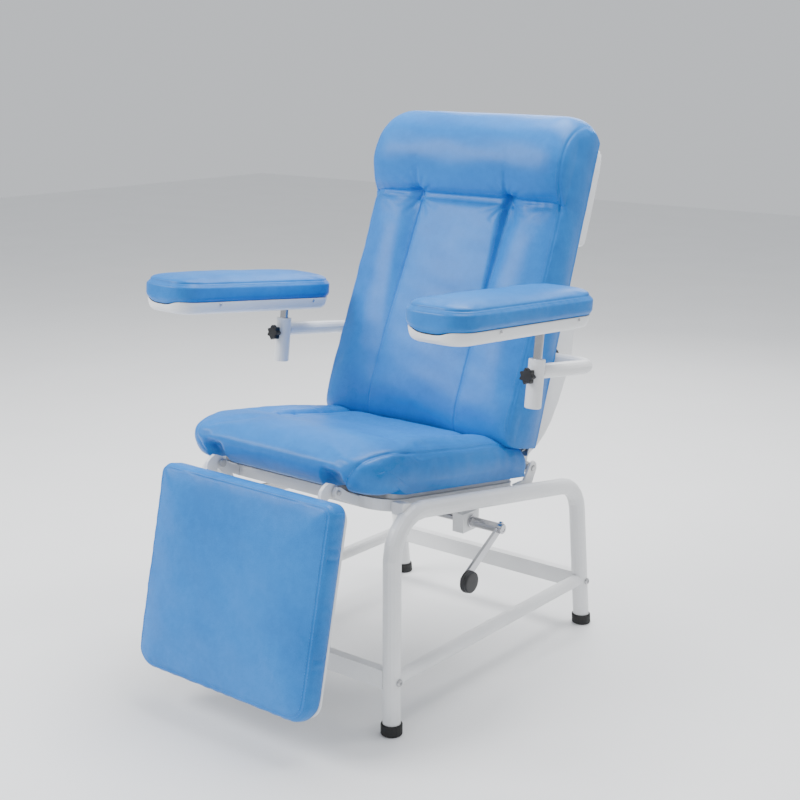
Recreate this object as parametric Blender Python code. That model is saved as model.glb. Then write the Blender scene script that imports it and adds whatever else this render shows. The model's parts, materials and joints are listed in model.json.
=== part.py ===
"""Patient recliner chair: tubular frame, crank-driven back and leg rest, two armrests.

Metres, +Z up.  The chair faces -Y and its own left side is +X.  The origin is on
the floor under the middle of the chair's outer box.  Lengths in the constants are
millimetres and are scaled once, in P().
"""
import bpy
import bmesh
import math
from math import sin, cos, pi, radians, sqrt, hypot
from mathutils import Vector, Matrix

# ------------------------------------------------------------------ dimensions
MM = 0.001
Y_SHIFT = -288.133          # from the front feet to the middle of the outer box
GAP = 0.35                # clearance between neighbouring pieces

TRACK = 277.7             # half distance between the two side frames
TUBE_R = 19.0             # side frame tube, 38 mm
TUBE_WALL = 1.6
REAR_FOOT_Y = 745.7
REAR_LEAN = 0.131         # rear leg, run per rise
TOP_Z = 476.4             # height of the top tube over the front feet
TOP_FALL = 0.158          # top tube falls to the rear
BEND_R = 84.0
STRETCH_Z = 118.5
STRETCH_R = 15.0
CROSS_H, CROSS_W, CROSS_WALL = 40.0, 22.0, 1.5
CROSS_FRONT = (0.0, 119.0)
FOOT_R, FOOT_H = 23.0, 25.0

SEAT_FALL = 0.153         # seat base plane falls to the rear
SEAT_Z = 505.0            # seat base plane at y = 0
SEAT_HALF = 261.0
BOARD_T = 13.0

BACK_TILT = radians(19.3)
BACK_O = (528.0, 487.0)   # lower rear edge of the back cushion
BACK_HALF = 272.0
BACK_LEN = 755.0
SHELL_HALF = 252.0
BACK_PIVOT = (545.0, 437.0)
PIVOT_R = 7.0

LEG_TILT = radians(12.5)
LEG_O = (-92.0, 508.5)    # upper rear edge of the leg pad
LEG_HALF = 236.5
LEG_LEN = 430.0
LEG_PAD_T = 48.0
PANEL_T = 9.0
LEG_PIVOT = (-42.0, 509.0)
HOOK_X = 160.0

LEVER_R = 90.0            # recline lever, pivot to pin
LEVER_A0 = radians(32.5)  # lever angle behind straight down, back upright
LEVER_X = 100.0
LINK_X = -148.0
LEG_LEVER_R = 90.0        # same as the recline lever: the link runs parallel
LEG_LEVER_A0 = LEVER_A0
RECLINE = radians(65.0)   # travel of the back, and of the leg rest

CRANK_Y, CRANK_Z = 300.0, 376.0
CRANK_X = 330.0              # middle of the crank arm
CRANK_LEN = 150.0            # shaft to knob
CRANK_HANG = radians(58.0)   # crank arm, forward of straight down
GEAR_TEETH = 12
GEAR_R = 19.0

ARM_X = 362.0
ARM_TILT = radians(7.0)
SOCKET_O = (367.5, 632.0)    # lower end of the post socket, on its axis
SOCKET_R, SOCKET_LEN = 18.0, 105.0
POST_R = 10.0
ARM_TUBE_R = 16.0
ARM_TUBE_H = 78.0            # arm tube above the socket foot
KNOB_H = 70.0                # clamp knob above the socket foot
ARM_A, ARM_B, ARM_R = 237.0, 78.0, 51.0   # armrest half length, half width, corner
# middle of each tray's underside, its fall to the rear and its turn inward
REST = {"L": (372.0, 231.7, 816.2, radians(3.2), radians(2.1)),
        "R": (366.39, 237.3, 778.4, radians(5.5), radians(-4.0))}
SCREW_AT = {"L": {"front": -110.0, "rear": 158.0}, "R": {"front": -128.0, "rear": 160.0}}

SEG = 16

# ------------------------------------------------------------------ scene reset
for o in list(bpy.data.objects):
    bpy.data.objects.remove(o, do_unlink=True)


def P(x, y, z):
    """Millimetres from the front feet -> metres from the origin."""
    return Vector((x * MM, (y + Y_SHIFT) * MM, z * MM))


def back(x, s, d):
    """s runs up the back, d forward of the cushion's rear plane."""
    return P(x, BACK_O[0] + s * sin(BACK_TILT) - d * cos(BACK_TILT),
             BACK_O[1] + s * cos(BACK_TILT) + d * sin(BACK_TILT))


def leg(x, u, w):
    """u runs down the leg rest, w forward of the pad's rear plane."""
    return P(x, LEG_O[0] - u * sin(LEG_TILT) - w * cos(LEG_TILT),
             LEG_O[1] - u * cos(LEG_TILT) + w * sin(LEG_TILT))


def arm(side, x, a, h):
    """Armrest frame: x outward from the post, a to the rear, h along the post."""
    sg = 1 if side == "L" else -1
    return P(sg * (ARM_X + x),
             SOCKET_O[0] + h * sin(ARM_TILT) + a * cos(ARM_TILT),
             SOCKET_O[1] + h * cos(ARM_TILT) - a * sin(ARM_TILT))


def rest(side, x, a, h):
    """Armrest's own frame: x outward, a to the rear, h above the tray's underside."""
    sg = 1 if side == "L" else -1
    c0, c1, c2, th, ps = REST[side]
    xi, ai = x * cos(ps) + a * sin(ps), a * cos(ps) - x * sin(ps)
    return P(sg * (c0 + xi), c1 + h * sin(th) + ai * cos(th), c2 + h * cos(th) - ai * sin(th))


def post_out(side):
    """Where the post's axis meets the tray's underside, from the socket foot."""
    c0, c1, c2, th, ps = REST[side]
    return ((c1 - SOCKET_O[0]) * sin(th) + (c2 - SOCKET_O[1]) * cos(th)) / cos(th - ARM_TILT)


# ------------------------------------------------------------------ materials
MATS = {}


def mat(name, rgb, rough, metal=0.0):
    if name not in MATS:
        m = bpy.data.materials.new(name)
        m.use_nodes = True
        b = m.node_tree.nodes["Principled BSDF"]
        b.inputs["Base Color"].default_value = (*rgb, 1)
        b.inputs["Roughness"].default_value = rough
        b.inputs["Metallic"].default_value = metal
        MATS[name] = m
    return MATS[name]


WHITE = ((0.82, 0.83, 0.84), 0.38, 0.0)
ABS = ((0.80, 0.81, 0.82), 0.45, 0.0)
BLUE = ((0.105, 0.33, 0.68), 0.42, 0.0)
BLACK = ((0.015, 0.015, 0.016), 0.6, 0.0)
CHROME = ((0.75, 0.75, 0.76), 0.15, 1.0)
STEEL = ((0.45, 0.45, 0.46), 0.4, 1.0)
BOARD = ((0.55, 0.54, 0.52), 0.7, 0.0)
BRASS = ((0.70, 0.52, 0.25), 0.35, 1.0)


def node(name, me, look, origin=None, smooth=35.0):
    """Object from a mesh in world metres, its own origin at the given point."""
    if origin is not None:
        me.transform(Matrix.Translation(-Vector(origin)))
    ob = bpy.data.objects.new(name, me)
    if origin is not None:
        ob.location = origin
    bpy.context.scene.collection.objects.link(ob)
    if look:
        me.materials.clear()
        me.materials.append(mat(name, *look))
    me.shade_smooth()
    me.set_sharp_from_angle(angle=radians(smooth))
    return ob


def cutter(name, me):
    ob = node(name, me, None)
    ob.hide_render = True
    ob.display_type = "WIRE"
    return ob


def boolean(ob, other, op):
    m = ob.modifiers.new(op.lower(), "BOOLEAN")
    m.operation = op
    m.solver = "EXACT"
    m.object = other


# ------------------------------------------------------------------ mesh makers
def mesh(name, verts, faces):
    me = bpy.data.meshes.new(name)
    me.from_pydata([tuple(v) for v in verts], [], faces)
    bm = bmesh.new()
    bm.from_mesh(me)
    bmesh.ops.recalc_face_normals(bm, faces=bm.faces)
    bm.to_mesh(me)
    bm.free()
    me.update()
    return me


def loft(name, rings, caps=True):
    """Skin equal rings of points in order, closing both ends."""
    n = len(rings[0])
    v, f = [], []
    for r in rings:
        v += list(r)
    for j in range(len(rings) - 1):
        for i in range(n):
            k = (i + 1) % n
            f.append((j * n + i, j * n + k, (j + 1) * n + k, (j + 1) * n + i))
    if caps:
        f.append(tuple(range(n - 1, -1, -1)))
        f.append(tuple((len(rings) - 1) * n + i for i in range(n)))
    return mesh(name, v, f)


def pipe_rings(path, up, r, seg=SEG, sq=None):
    """Rings square to a path that stays in the plane whose normal is up."""
    up = Vector(up).normalized()
    rings = []
    for i, p in enumerate(path):
        a = (path[i] - path[i - 1]).normalized() if i > 0 else None
        b = (path[i + 1] - path[i]).normalized() if i < len(path) - 1 else None
        t = (a + b).normalized() if a and b else (a or b)
        side = t.cross(up).normalized()
        ring = []
        if sq:
            hw, hh = sq
            for cx, cy in ((1, 1), (-1, 1), (-1, -1), (1, -1)):
                ring.append(p + side * (cx * hw * MM) + up * (cy * hh * MM))
        else:
            for k in range(seg):
                a2 = 2 * pi * (k + 0.5) / seg
                ring.append(p + side * (r * MM * cos(a2)) + up * (r * MM * sin(a2)))
        rings.append(ring)
    return rings


def pipe(name, path, up, r, wall=0.0, seg=SEG, sq=None):
    """Bent tube or bar; with a wall it is open at both ends."""
    outer = pipe_rings(path, up, r, seg, sq)
    if not wall:
        return loft(name, outer)
    if sq:
        inner = pipe_rings(path, up, 0, seg, (sq[0] - wall, sq[1] - wall))
    else:
        inner = pipe_rings(path, up, r - wall, seg)
    n = len(outer[0])
    rings = outer + inner[::-1]
    v, f = [], []
    for q in rings:
        v += q
    m = len(rings)
    for j in range(m):
        jj = (j + 1) % m
        for i in range(n):
            k = (i + 1) % n
            f.append((j * n + i, j * n + k, jj * n + k, jj * n + i))
    return mesh(name, v, f)


def rounded_path(pts, radius, steps=6):
    """Polyline with its inner corners replaced by arcs of one radius."""
    out = [pts[0]]
    for i in range(1, len(pts) - 1):
        p, a, b = pts[i], (pts[i - 1] - pts[i]).normalized(), (pts[i + 1] - pts[i]).normalized()
        half = math.acos(max(-1, min(1, a.dot(b)))) / 2
        t = radius * MM / math.tan(half)
        c = p + (a + b).normalized() * (radius * MM / sin(half))
        v0, v1 = p + a * t - c, p + b * t - c
        ang = v0.angle(v1)
        axis = v0.cross(v1).normalized()
        for k in range(steps + 1):
            out.append(c + Matrix.Rotation(ang * k / steps, 3, axis) @ v0)
    out.append(pts[-1])
    return out


def turned(name, origin, axis, profile, seg=SEG, start=None):
    """Solid of revolution; profile is (distance along axis, radius), ends on any radius."""
    axis = Vector(axis).normalized()
    ref = Vector(start) if start else (Vector((0, 0, 1)) if abs(axis.z) < 0.9 else Vector((1, 0, 0)))
    u = (ref - axis * ref.dot(axis)).normalized()
    w = axis.cross(u)
    rings = []
    for a, r in profile:
        rings.append([origin + axis * (a * MM) + (u * cos(2 * pi * (k + .5) / seg) + w * sin(2 * pi * (k + .5) / seg)) * (r * MM)
                      for k in range(seg)])
    return loft(name, rings)


def ring_solid(name, origin, axis, profile, seg=SEG):
    """Turned ring: profile is a closed loop of (distance along axis, radius)."""
    axis = Vector(axis).normalized()
    ref = Vector((0, 0, 1)) if abs(axis.z) < 0.9 else Vector((1, 0, 0))
    u = (ref - axis * ref.dot(axis)).normalized()
    w = axis.cross(u)
    rings = [[origin + axis * (a * MM) + (u * cos(2 * pi * (k + .5) / seg) + w * sin(2 * pi * (k + .5) / seg)) * (r * MM)
              for a, r in profile] for k in range(seg)]
    n, v, f = len(profile), [], []
    for q in rings:
        v += q
    for j in range(seg):
        jj = (j + 1) % seg
        for i in range(n):
            k = (i + 1) % n
            f.append((j * n + i, j * n + k, jj * n + k, jj * n + i))
    return mesh(name, v, f)


def plate(name, pts, x0, x1, fn=P):
    """Flat outline (y, z) pushed from x0 to x1."""
    return loft(name, [[fn(x0, a, b) for a, b in pts], [fn(x1, a, b) for a, b in pts]])


def box(name, x0, x1, y0, y1, z0, z1, fn=P):
    return plate(name, [(y0, z0), (y1, z0), (y1, z1), (y0, z1)], x0, x1, fn)


def capsule(a, b, ra, rb, n=7):
    """Outline of a link between two round ends, in 2D."""
    ax, ay = a
    bx, by = b
    th = math.atan2(by - ay, bx - ax)
    pts = []
    for k in range(n):
        t = th + pi / 2 + pi * k / (n - 1)
        pts.append((ax + ra * cos(t), ay + ra * sin(t)))
    for k in range(n):
        t = th - pi / 2 + pi * k / (n - 1)
        pts.append((bx + rb * cos(t), by + rb * sin(t)))
    return pts


def round_rect(hx, hy, r, n=5):
    pts = []
    for cx, cy, a0 in ((hx - r, hy - r, 0), (-hx + r, hy - r, 90), (-hx + r, -hy + r, 180), (hx - r, -hy + r, 270)):
        for k in range(n + 1):
            a = radians(a0 + 90 * k / n)
            pts.append((cx + r * cos(a), cy + r * sin(a)))
    return pts


def stack(name, hx, hy, r, levels, place, n=5):
    """Rounded-rectangle layers (height, inset) placed by place(x, y, height)."""
    rings = []
    for h, inset in levels:
        rr = max(r - inset, 3.0)
        rings.append([place(x, y, h) for x, y in round_rect(hx - inset, hy - inset, rr, n)])
    return loft(name, rings)


def inset_poly(pts, d):
    """Move each corner of an outline inward by d."""
    n = len(pts)
    area = sum(pts[i][0] * pts[(i + 1) % n][1] - pts[(i + 1) % n][0] * pts[i][1] for i in range(n))
    sg = 1 if area > 0 else -1
    out = []
    for i in range(n):
        p0, p1, p2 = Vector(pts[i - 1]), Vector(pts[i]), Vector(pts[(i + 1) % n])
        a, b = (p1 - p0).normalized(), (p2 - p1).normalized()
        na, nb = Vector((-a.y, a.x)) * sg, Vector((-b.y, b.x)) * sg
        m = (na + nb).normalized()
        out.append(tuple(p1 + m * (d / max(0.5, m.dot(na)))))
    return out


def lerp_table(tab, x):
    if x <= tab[0][0]:
        return tab[0][1]
    for (a, va), (b, vb) in zip(tab, tab[1:]):
        if x <= b:
            return va + (vb - va) * (x - a) / (b - a)
    return tab[-1][1]


SIDES = (("L", 1), ("R", -1))


def top_z(y):
    return TOP_Z - TOP_FALL * y


def rear_y(z):
    return REAR_FOOT_Y - REAR_LEAN * z


def seat_z(y):
    return SEAT_Z - SEAT_FALL * y


# ================================================================== base frame
corner_y = (REAR_FOOT_Y - REAR_LEAN * TOP_Z) / (1 - REAR_LEAN * TOP_FALL)
for tag, sg in SIDES:
    x = sg * TRACK
    path = rounded_path([P(x, 0, 6), P(x, 0, top_z(0)), P(x, corner_y, top_z(corner_y)), P(x, rear_y(7), 7)],
                        BEND_R, 5)
    frame = node("side_frame_" + tag, pipe("side_frame_" + tag, path, (1, 0, 0), TUBE_R, TUBE_WALL), WHITE)
    # clearance for the two frame bolts
    for nm, yy, zz in (("f", *CROSS_FRONT), ("r", rear_y(115.3), 115.3)):
        c = cutter("cut_bolt_%s_%s" % (nm, tag),
                   turned("c", P(sg * (TRACK - 40), yy, zz), (sg, 0, 0), [(0, 4.4), (80, 4.4)], 12))
        boolean(frame, c, "DIFFERENCE")
    # round side stretcher, ends fitted to the legs
    st = node("side_stretcher_" + tag,
              pipe("side_stretcher_" + tag, [P(x, 9, STRETCH_Z), P(x, rear_y(STRETCH_Z) - 9, STRETCH_Z)],
                   (1, 0, 0), STRETCH_R, 1.5), WHITE)
    for nm, y0, y1 in (("f", 0, 0), ("r", rear_y(60), rear_y(180))):
        c = cutter("cut_cope_%s_%s" % (nm, tag),
                   pipe("c", [P(x, y0, 60), P(x, y1, 180)], (1, 0, 0), TUBE_R + GAP, 0, SEG))
        boolean(st, c, "DIFFERENCE")

CROSS_REAR = (rear_y(115.3), 115.3)
for nm, (yc, zc) in (("front", CROSS_FRONT), ("rear", CROSS_REAR)):
    hx = TRACK - TUBE_R + 5
    cm = node("cross_member_" + nm,
              pipe("cross_member_" + nm, [P(-hx, yc, zc), P(hx, yc, zc)], (0, 0, 1), 0, CROSS_WALL,
                   sq=(CROSS_W / 2, CROSS_H / 2)), WHITE)
    for tag, sg in SIDES:
        lo, hi = zc - 60, zc + 60
        c = cutter("cut_cross_%s_%s" % (nm, tag),
                   pipe("c", [P(sg * TRACK, yc if nm == "front" else rear_y(lo), lo),
                              P(sg * TRACK, yc if nm == "front" else rear_y(hi), hi)],
                        (1, 0, 0), TUBE_R + GAP, 0, SEG))
        boolean(cm, c, "DIFFERENCE")
        # socket-head bolt through the leg into the cross member
        node("frame_bolt_%s_%s" % (nm, tag),
             turned("frame_bolt", P(sg * (TRACK + TUBE_R + GAP), yc, zc), (sg, 0, 0),
                    [(-70, 4.0), (0, 4.0), (0, 8.0), (2.5, 8.0), (4.5, 6.0), (4.5, 3.4), (2.0, 3.4)], 12), STEEL)

# rubber cup feet
for nm, y0, y1 in (("front", 0.0, 0.0), ("rear", REAR_FOOT_Y, rear_y(FOOT_H))):
    for tag, sg in SIDES:
        prof = [(0, FOOT_R - 2.5), (2.5, FOOT_R), (FOOT_H - 2, FOOT_R), (FOOT_H, FOOT_R - 1.5),
                (FOOT_H, TUBE_R + 0.7), (3, TUBE_R + 0.7)]
        rings = []
        for z, r in prof:
            yy = y0 + (y1 - y0) * z / FOOT_H
            rings.append([P(sg * TRACK + r * cos(2 * pi * k / 16), yy + r * sin(2 * pi * k / 16), z) for k in range(16)])
        node("foot_%s_%s" % (nm, tag), loft("foot", rings), BLACK)

# ================================================================== seat
FRAME_Y0, FRAME_Y1 = 22.0, 508.0
BOARD_HALF, RAIL_H, RAIL_W = 243.0, 25.0, 20.0


def seat_plane(x, y, h):
    """h above the seat base plane, square to the floor."""
    return P(x, y, seat_z(y) + h)


mid_y, half_y = (FRAME_Y0 + FRAME_Y1) / 2, (FRAME_Y1 - FRAME_Y0) / 2
loop = [(x, y + mid_y) for x, y in round_rect(BOARD_HALF + 4, half_y, 60, 5)]
rail = []
for i, (x, y) in enumerate(loop):
    rail.append((x, y))
inner = [(x, y + mid_y) for x, y in round_rect(BOARD_HALF + 4 - RAIL_W, half_y - RAIL_W, 40, 5)]
n = len(rail)
v, f = [], []
lo, hi = -BOARD_T - GAP - RAIL_H, -BOARD_T - GAP
for (a, b) in ((rail, lo), (rail, hi), (inner, hi), (inner, lo)):
    v += [seat_plane(x, y, b) for x, y in a]
for j in range(4):
    jj = (j + 1) % 4
    for i in range(n):
        k = (i + 1) % n
        f.append((j * n + i, j * n + k, jj * n + k, jj * n + i))
seat_frame = node("seat_frame", mesh("seat_frame", v, f), WHITE)

for x0, x1, nm in ((LEVER_X - 32, LEVER_X - 20, "d"), (LINK_X - 14, LINK_X - 4, "l")):
    # clearance notch for a lever at full recline
    tip = (BACK_PIVOT[0] + LEVER_R * sin(LEVER_A0 - RECLINE), BACK_PIVOT[1] - LEVER_R * cos(LEVER_A0 - RECLINE))
    boolean(seat_frame, cutter("cut_rail_" + nm, plate("c", capsule(BACK_PIVOT, tip, 16.5, 13, 6), x0, x1)), "DIFFERENCE")

node("seat_board", stack("seat_board", BOARD_HALF, half_y - 2, 56, [(-BOARD_T, 2), (-BOARD_T + 2, 0), (-2, 0), (-GAP, 2)],
                         lambda x, y, h: seat_plane(x, y + mid_y, h)), BOARD)

# seat cushion: side outline, rounded toward both ends and at the front corners
SEAT_SIDE = [(22, 503), (6, 511), (-18, 530), (-32, 545), (-48, 554), (-58, 564), (-51, 580), (-28, 590), (10, 596), (60, 593),
             (172, 575), (300, 552), (396, 534), (418, 519), (470, 501.5), (498, 491), (513, 472), (516, 446), (508, 428.5)]
SEAT_STATIONS = [(0, 0), (150, 0), (196, 0), (222, 0.5), (240, 2), (252, 6), (259, 13), (SEAT_HALF, 22)]
rings = []
for x, ins in [(-a, b) for a, b in SEAT_STATIONS[::-1]] + SEAT_STATIONS[1:]:
    R = 72.0
    e = max(0.0, abs(x) - (SEAT_HALF + 4 - R))
    back_off = R - sqrt(max(0.0, R * R - e * e))
    ring = []
    for y, z in inset_poly(SEAT_SIDE, ins):
        wgt = max(0.0, min(1.0, (120 - y) / 150.0))
        yy = y + back_off * wgt
        ring.append(P(x, yy, max(z - SEAT_FALL * (yy - y), seat_z(yy) + GAP)))
    rings.append(ring)
node("seat_cushion", loft("seat_cushion", rings), BLUE, smooth=50)

# front brackets stand the seat frame on the side frames
for tag, sg in SIDES:
    y0, y1 = 36, 62
    pts = [(y0, seat_z(y0) - BOARD_T - RAIL_H - 1), (y1, seat_z(y1) - BOARD_T - RAIL_H - 1),
           (y1, seat_z(y1) - BOARD_T - GAP * 2), (y0, seat_z(y0) - BOARD_T - GAP * 2)]
    br = node("seat_bracket_front_" + tag,
              plate("b", pts, sg * (BOARD_HALF + 4 + GAP), sg * (TRACK - 2)), WHITE)
    c = cutter("cut_seatbr_f_" + tag, pipe("c", path and rounded_path(
        [P(sg * TRACK, 0, 6), P(sg * TRACK, 0, top_z(0)), P(sg * TRACK, corner_y, top_z(corner_y)), P(sg * TRACK, rear_y(7), 7)],
        BEND_R, 5), (1, 0, 0), TUBE_R + GAP, 0))
    boolean(br, c, "DIFFERENCE")
    # rear bracket carries the back pivot
    y0, y1 = 470, 506
    zb = seat_z(490) - BOARD_T - RAIL_H
    ear = [(y0, zb + 1), (505, zb - 22), (530, zb - 14), (BACK_PIVOT[0] + 10, BACK_PIVOT[1] - 14),
           (BACK_PIVOT[0] + 16, BACK_PIVOT[1] - 4), (BACK_PIVOT[0] + 15, BACK_PIVOT[1] + 8),
           (BACK_PIVOT[0] + 5, BACK_PIVOT[1] + 16), (BACK_PIVOT[0] - 8, BACK_PIVOT[1] + 14), (517, 424), (511, 416),
           (y0, seat_z(y0) - BOARD_T - GAP * 2 - 3)]
    rb = node("seat_bracket_rear_" + tag,
              plate("b", ear, sg * (BOARD_HALF + 4 + GAP), sg * (BOARD_HALF + 10)), WHITE)
    foot = cutter("add_foot_" + tag, box("b", sg * (BOARD_HALF + 6), sg * (TRACK - 2), 474, 500, zb - 6, zb + 16))
    boolean(rb, foot, "UNION")
    boolean(rb, c, "DIFFERENCE")
    h = cutter("cut_pivot_" + tag, turned("c", P(sg * 235, *BACK_PIVOT), (sg, 0, 0), [(0, PIVOT_R + GAP), (40, PIVOT_R + GAP)], 20))
    boolean(rb, h, "DIFFERENCE")

node("back_pivot_rod", turned("back_pivot_rod", P(-(BOARD_HALF + 14), *BACK_PIVOT), (1, 0, 0),
     [(0, 5), (1.5, PIVOT_R), (2 * (BOARD_HALF + 14) - 1.5, PIVOT_R), (2 * (BOARD_HALF + 14), 5)], 20), STEEL,
     P(0, *BACK_PIVOT))

# leg rest lugs on the front rail, and the rod through them
for tag, sg in SIDES:
    x0, x1 = sg * (HOOK_X + 6), sg * (HOOK_X + 14)
    fy = FRAME_Y0 - GAP
    pts = [(fy, seat_z(fy) - BOARD_T - RAIL_H), (fy, seat_z(fy) - BOARD_T - 2), (-6, 498),
           (LEG_PIVOT[0] + 8, LEG_PIVOT[1] + 9), (LEG_PIVOT[0] - 3, LEG_PIVOT[1] + 11.5), (LEG_PIVOT[0] - 11, LEG_PIVOT[1] + 3),
           (LEG_PIVOT[0] - 10, LEG_PIVOT[1] - 7), (LEG_PIVOT[0] - 1, LEG_PIVOT[1] - 12)]
    lg = node("legrest_lug_" + tag, plate("b", pts, x0, x1), WHITE)
    h = cutter("cut_lug_" + tag, turned("c", P(sg * HOOK_X, *LEG_PIVOT), (sg, 0, 0), [(0, 5.35), (20, 5.35)], 16))
    boolean(lg, h, "DIFFERENCE")
    node("legrest_bolt_" + tag, turned("lb", P(sg * (HOOK_X - 12), *LEG_PIVOT), (sg, 0, 0),
         [(0, 8), (1, 9), (5.5, 9), (5.5, 5.0), (30, 5.0), (30.5, 4.5)], 16), STEEL, P(sg * HOOK_X, *LEG_PIVOT))

# ================================================================== back rest
BACK_FRONT = [(0, 112), (14, 128), (47, 137), (120, 134), (220, 127), (330, 119), (440, 113), (522, 110), (545, 117),
              (575, 135), (612, 147), (652, 149), (694, 140), (727, 117), (747, 86), (755, 50)]
BACK_REAR = [(751, 18), (738, GAP), (600, GAP), (300, GAP), (4, GAP), (0, 4)]
prof = BACK_FRONT + BACK_REAR
rings = []
ST = [(0, 0), (140, 0), (215, 1), (240, 3), (255, 7), (264, 12), (269, 18), (BACK_HALF, 27)]
for x, ins in [(-a, b) for a, b in ST[::-1]] + ST[1:]:
    R = 62.0
    e = max(0.0, abs(x) - (BACK_HALF + 3 - R))
    drop = R - sqrt(max(0.0, R * R - e * e))
    ring = []
    for i, (s, d) in enumerate(prof):
        front = i < len(BACK_FRONT)
        dd = d - ins if (front and d > 60) else d
        ss = s
        if s > 600:
            ss = s - drop * 0.75 * min(1.0, (s - 600) / 110.0)
        if not front:
            dd = max(GAP, d) + (0 if abs(x) < 262 else (abs(x) - 262) * 0.4)
        if s < 15:
            ss = s + (0 if abs(x) < 240 else (abs(x) - 240) * 0.3)
        ring.append(back(x, ss, dd))
    rings.append(ring)
node("back_cushion", loft("back_cushion", rings), BLUE, P(0, *BACK_PIVOT), smooth=50)

# tubular frame behind the cushion
BF_X, BF_R, BF_D = 212.0, 9.0, -9.7
path = rounded_path([back(-BF_X, 14, BF_D), back(-BF_X, 610, BF_D), back(BF_X, 610, BF_D), back(BF_X, 14, BF_D)], 60, 4)
nrm = back(0, 0, 1) - back(0, 0, 0)
bf = node("backrest_frame", pipe("backrest_frame", path, nrm, BF_R, 1.5, 10), WHITE, P(0, *BACK_PIVOT))
ARM_T = ((SOCKET_O[0] + ARM_TUBE_H * sin(ARM_TILT)), (SOCKET_O[1] + ARM_TUBE_H * cos(ARM_TILT)))
AX_D = -17.0
# where the arm tube meets the side of the back frame
_k = None
for q in range(0, 4000):
    a_ = q * 0.1
    yy = ARM_T[0] + a_ * cos(ARM_TILT)
    zz = ARM_T[1] - a_ * sin(ARM_TILT)
    dd = -((yy - BACK_O[0]) * cos(BACK_TILT) - (zz - BACK_O[1]) * sin(BACK_TILT))
    if dd <= AX_D:
        _k = (a_, yy, zz)
        break
ARM_RUN, AX_Y, AX_Z = _k
for tag, sg in SIDES:
    pin = cutter("add_armpin_" + tag, turned("p", P(sg * 214, AX_Y, AX_Z), (sg, 0, 0),
                 [(0, 9.0), (14, 9.0), (14, 12.0), (56, 12.0), (58, 10.5)], 16))
    boolean(bf, pin, "UNION")

# torque tube with two ears and two levers, turning on the pivot rod
TT_R = 13.0
tt = node("torque_tube", ring_solid("torque_tube", P(-(BOARD_HALF - 6), *BACK_PIVOT), (1, 0, 0),
          [(0, PIVOT_R + GAP), (0, TT_R), (2 * (BOARD_HALF - 6), TT_R), (2 * (BOARD_HALF - 6), PIVOT_R + GAP)], 20), WHITE,
          P(0, *BACK_PIVOT))
PS = (sin(BACK_TILT) * (BACK_PIVOT[0] - BACK_O[0]) + cos(BACK_TILT) * (BACK_PIVOT[1] - BACK_O[1]),
      -(cos(BACK_TILT) * (BACK_PIVOT[0] - BACK_O[0]) - sin(BACK_TILT) * (BACK_PIVOT[1] - BACK_O[1])))
adds = []
for tag, sg in SIDES:
    pts = capsule((BACK_PIVOT[0], BACK_PIVOT[1]), tuple(((back(0, 95, BF_D).y / MM - Y_SHIFT), back(0, 95, BF_D).z / MM)), 13.4, 8.6, 6)
    adds.append(cutter("add_ear_" + tag, plate("e", pts, sg * (BF_X + BF_R + GAP), sg * (BF_X + BF_R + GAP + 6))))
LEV = (BACK_PIVOT[0] + LEVER_R * sin(LEVER_A0), BACK_PIVOT[1] - LEVER_R * cos(LEVER_A0))
adds.append(cutter("add_lever_drive", plate("e", capsule(BACK_PIVOT, LEV, 14, 10, 6), LEVER_X - 30, LEVER_X - 22)))
adds.append(cutter("add_lever_pin", turned("e", P(LEVER_X - 26, *LEV), (1, 0, 0), [(0, 6), (16.4, 6), (17.2, 5.4)], 16)))
adds.append(cutter("add_lever_link", plate("e", capsule(BACK_PIVOT, LEV, 14, 10, 6), LINK_X - 12, LINK_X - 6)))
adds.append(cutter("add_link_pin", turned("e", P(LINK_X - 8, *LEV), (1, 0, 0), [(0, 6), (16, 6), (17, 5.5)], 16)))
for a in adds:
    boolean(tt, a, "UNION")
hh = cutter("cut_tt", turned("c", P(-260, *BACK_PIVOT), (1, 0, 0), [(0, PIVOT_R + GAP), (520, PIVOT_R + GAP)], 20))
boolean(tt, hh, "DIFFERENCE")

# moulded rear shell: open-fronted tub whose depth follows the back
DEPTH = [(-18, 3.6), (-10, 18), (2, 36), (14, 50), (40, 70), (74, 87), (120, 100), (177, 110), (238, 115), (285, 106),
         (312, 92), (334, 46), (350, 24), (464, 22), (474, 30), (494, 52), (560, 53), (683, 50), (702, 46), (710, 30), (713, 3.6)]
S_ST = [-18, -10, 2, 14, 40, 74, 120, 177, 238, 285, 312, 334, 350, 464, 474, 494, 560, 683, 702, 710, 713]


def shell_ring(s, hx, D, rc):
    rc = min(rc, D * 0.9)
    pts = [(hx, -GAP)]
    pts.append((hx, -max(GAP + 0.2, (D - rc))))
    for k in range(1, 5):
        a = radians(90 * k / 4)
        pts.append((hx - rc * (1 - cos(a)) * 1.0, -(D - rc) - rc * sin(a)))
    pts.append((hx * 0.45, -D))
    full = pts + [(-x, d) for x, d in pts[::-1]]
    return [back(x, s, d) for x, d in full]


outer_r, inner_r = [], []
for s in S_ST:
    D = lerp_table(DEPTH, s)
    Di = max(0.9, min(lerp_table(DEPTH, s - 3), D, lerp_table(DEPTH, s + 3)) - 3.0)
    outer_r.append(shell_ring(s, SHELL_HALF, D, 22))
    inner_r.append(shell_ring(s if 0 < S_ST.index(s) < len(S_ST) - 1 else s, SHELL_HALF - 3, Di, 20))
m, v, f = len(outer_r[0]), [], []
for r in outer_r + inner_r:
    v += r
N = len(S_ST)
for j in range(N - 1):
    for i in range(m - 1):
        f.append((j * m + i, j * m + i + 1, (j + 1) * m + i + 1, (j + 1) * m + i))
        b = N * m
        f.append((b + j * m + i, b + (j + 1) * m + i, b + (j + 1) * m + i + 1, b + j * m + i + 1))
    for i in (0, m - 1):
        b = N * m
        f.append((j * m + i, (j + 1) * m + i, b + (j + 1) * m + i, b + j * m + i))
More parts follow.
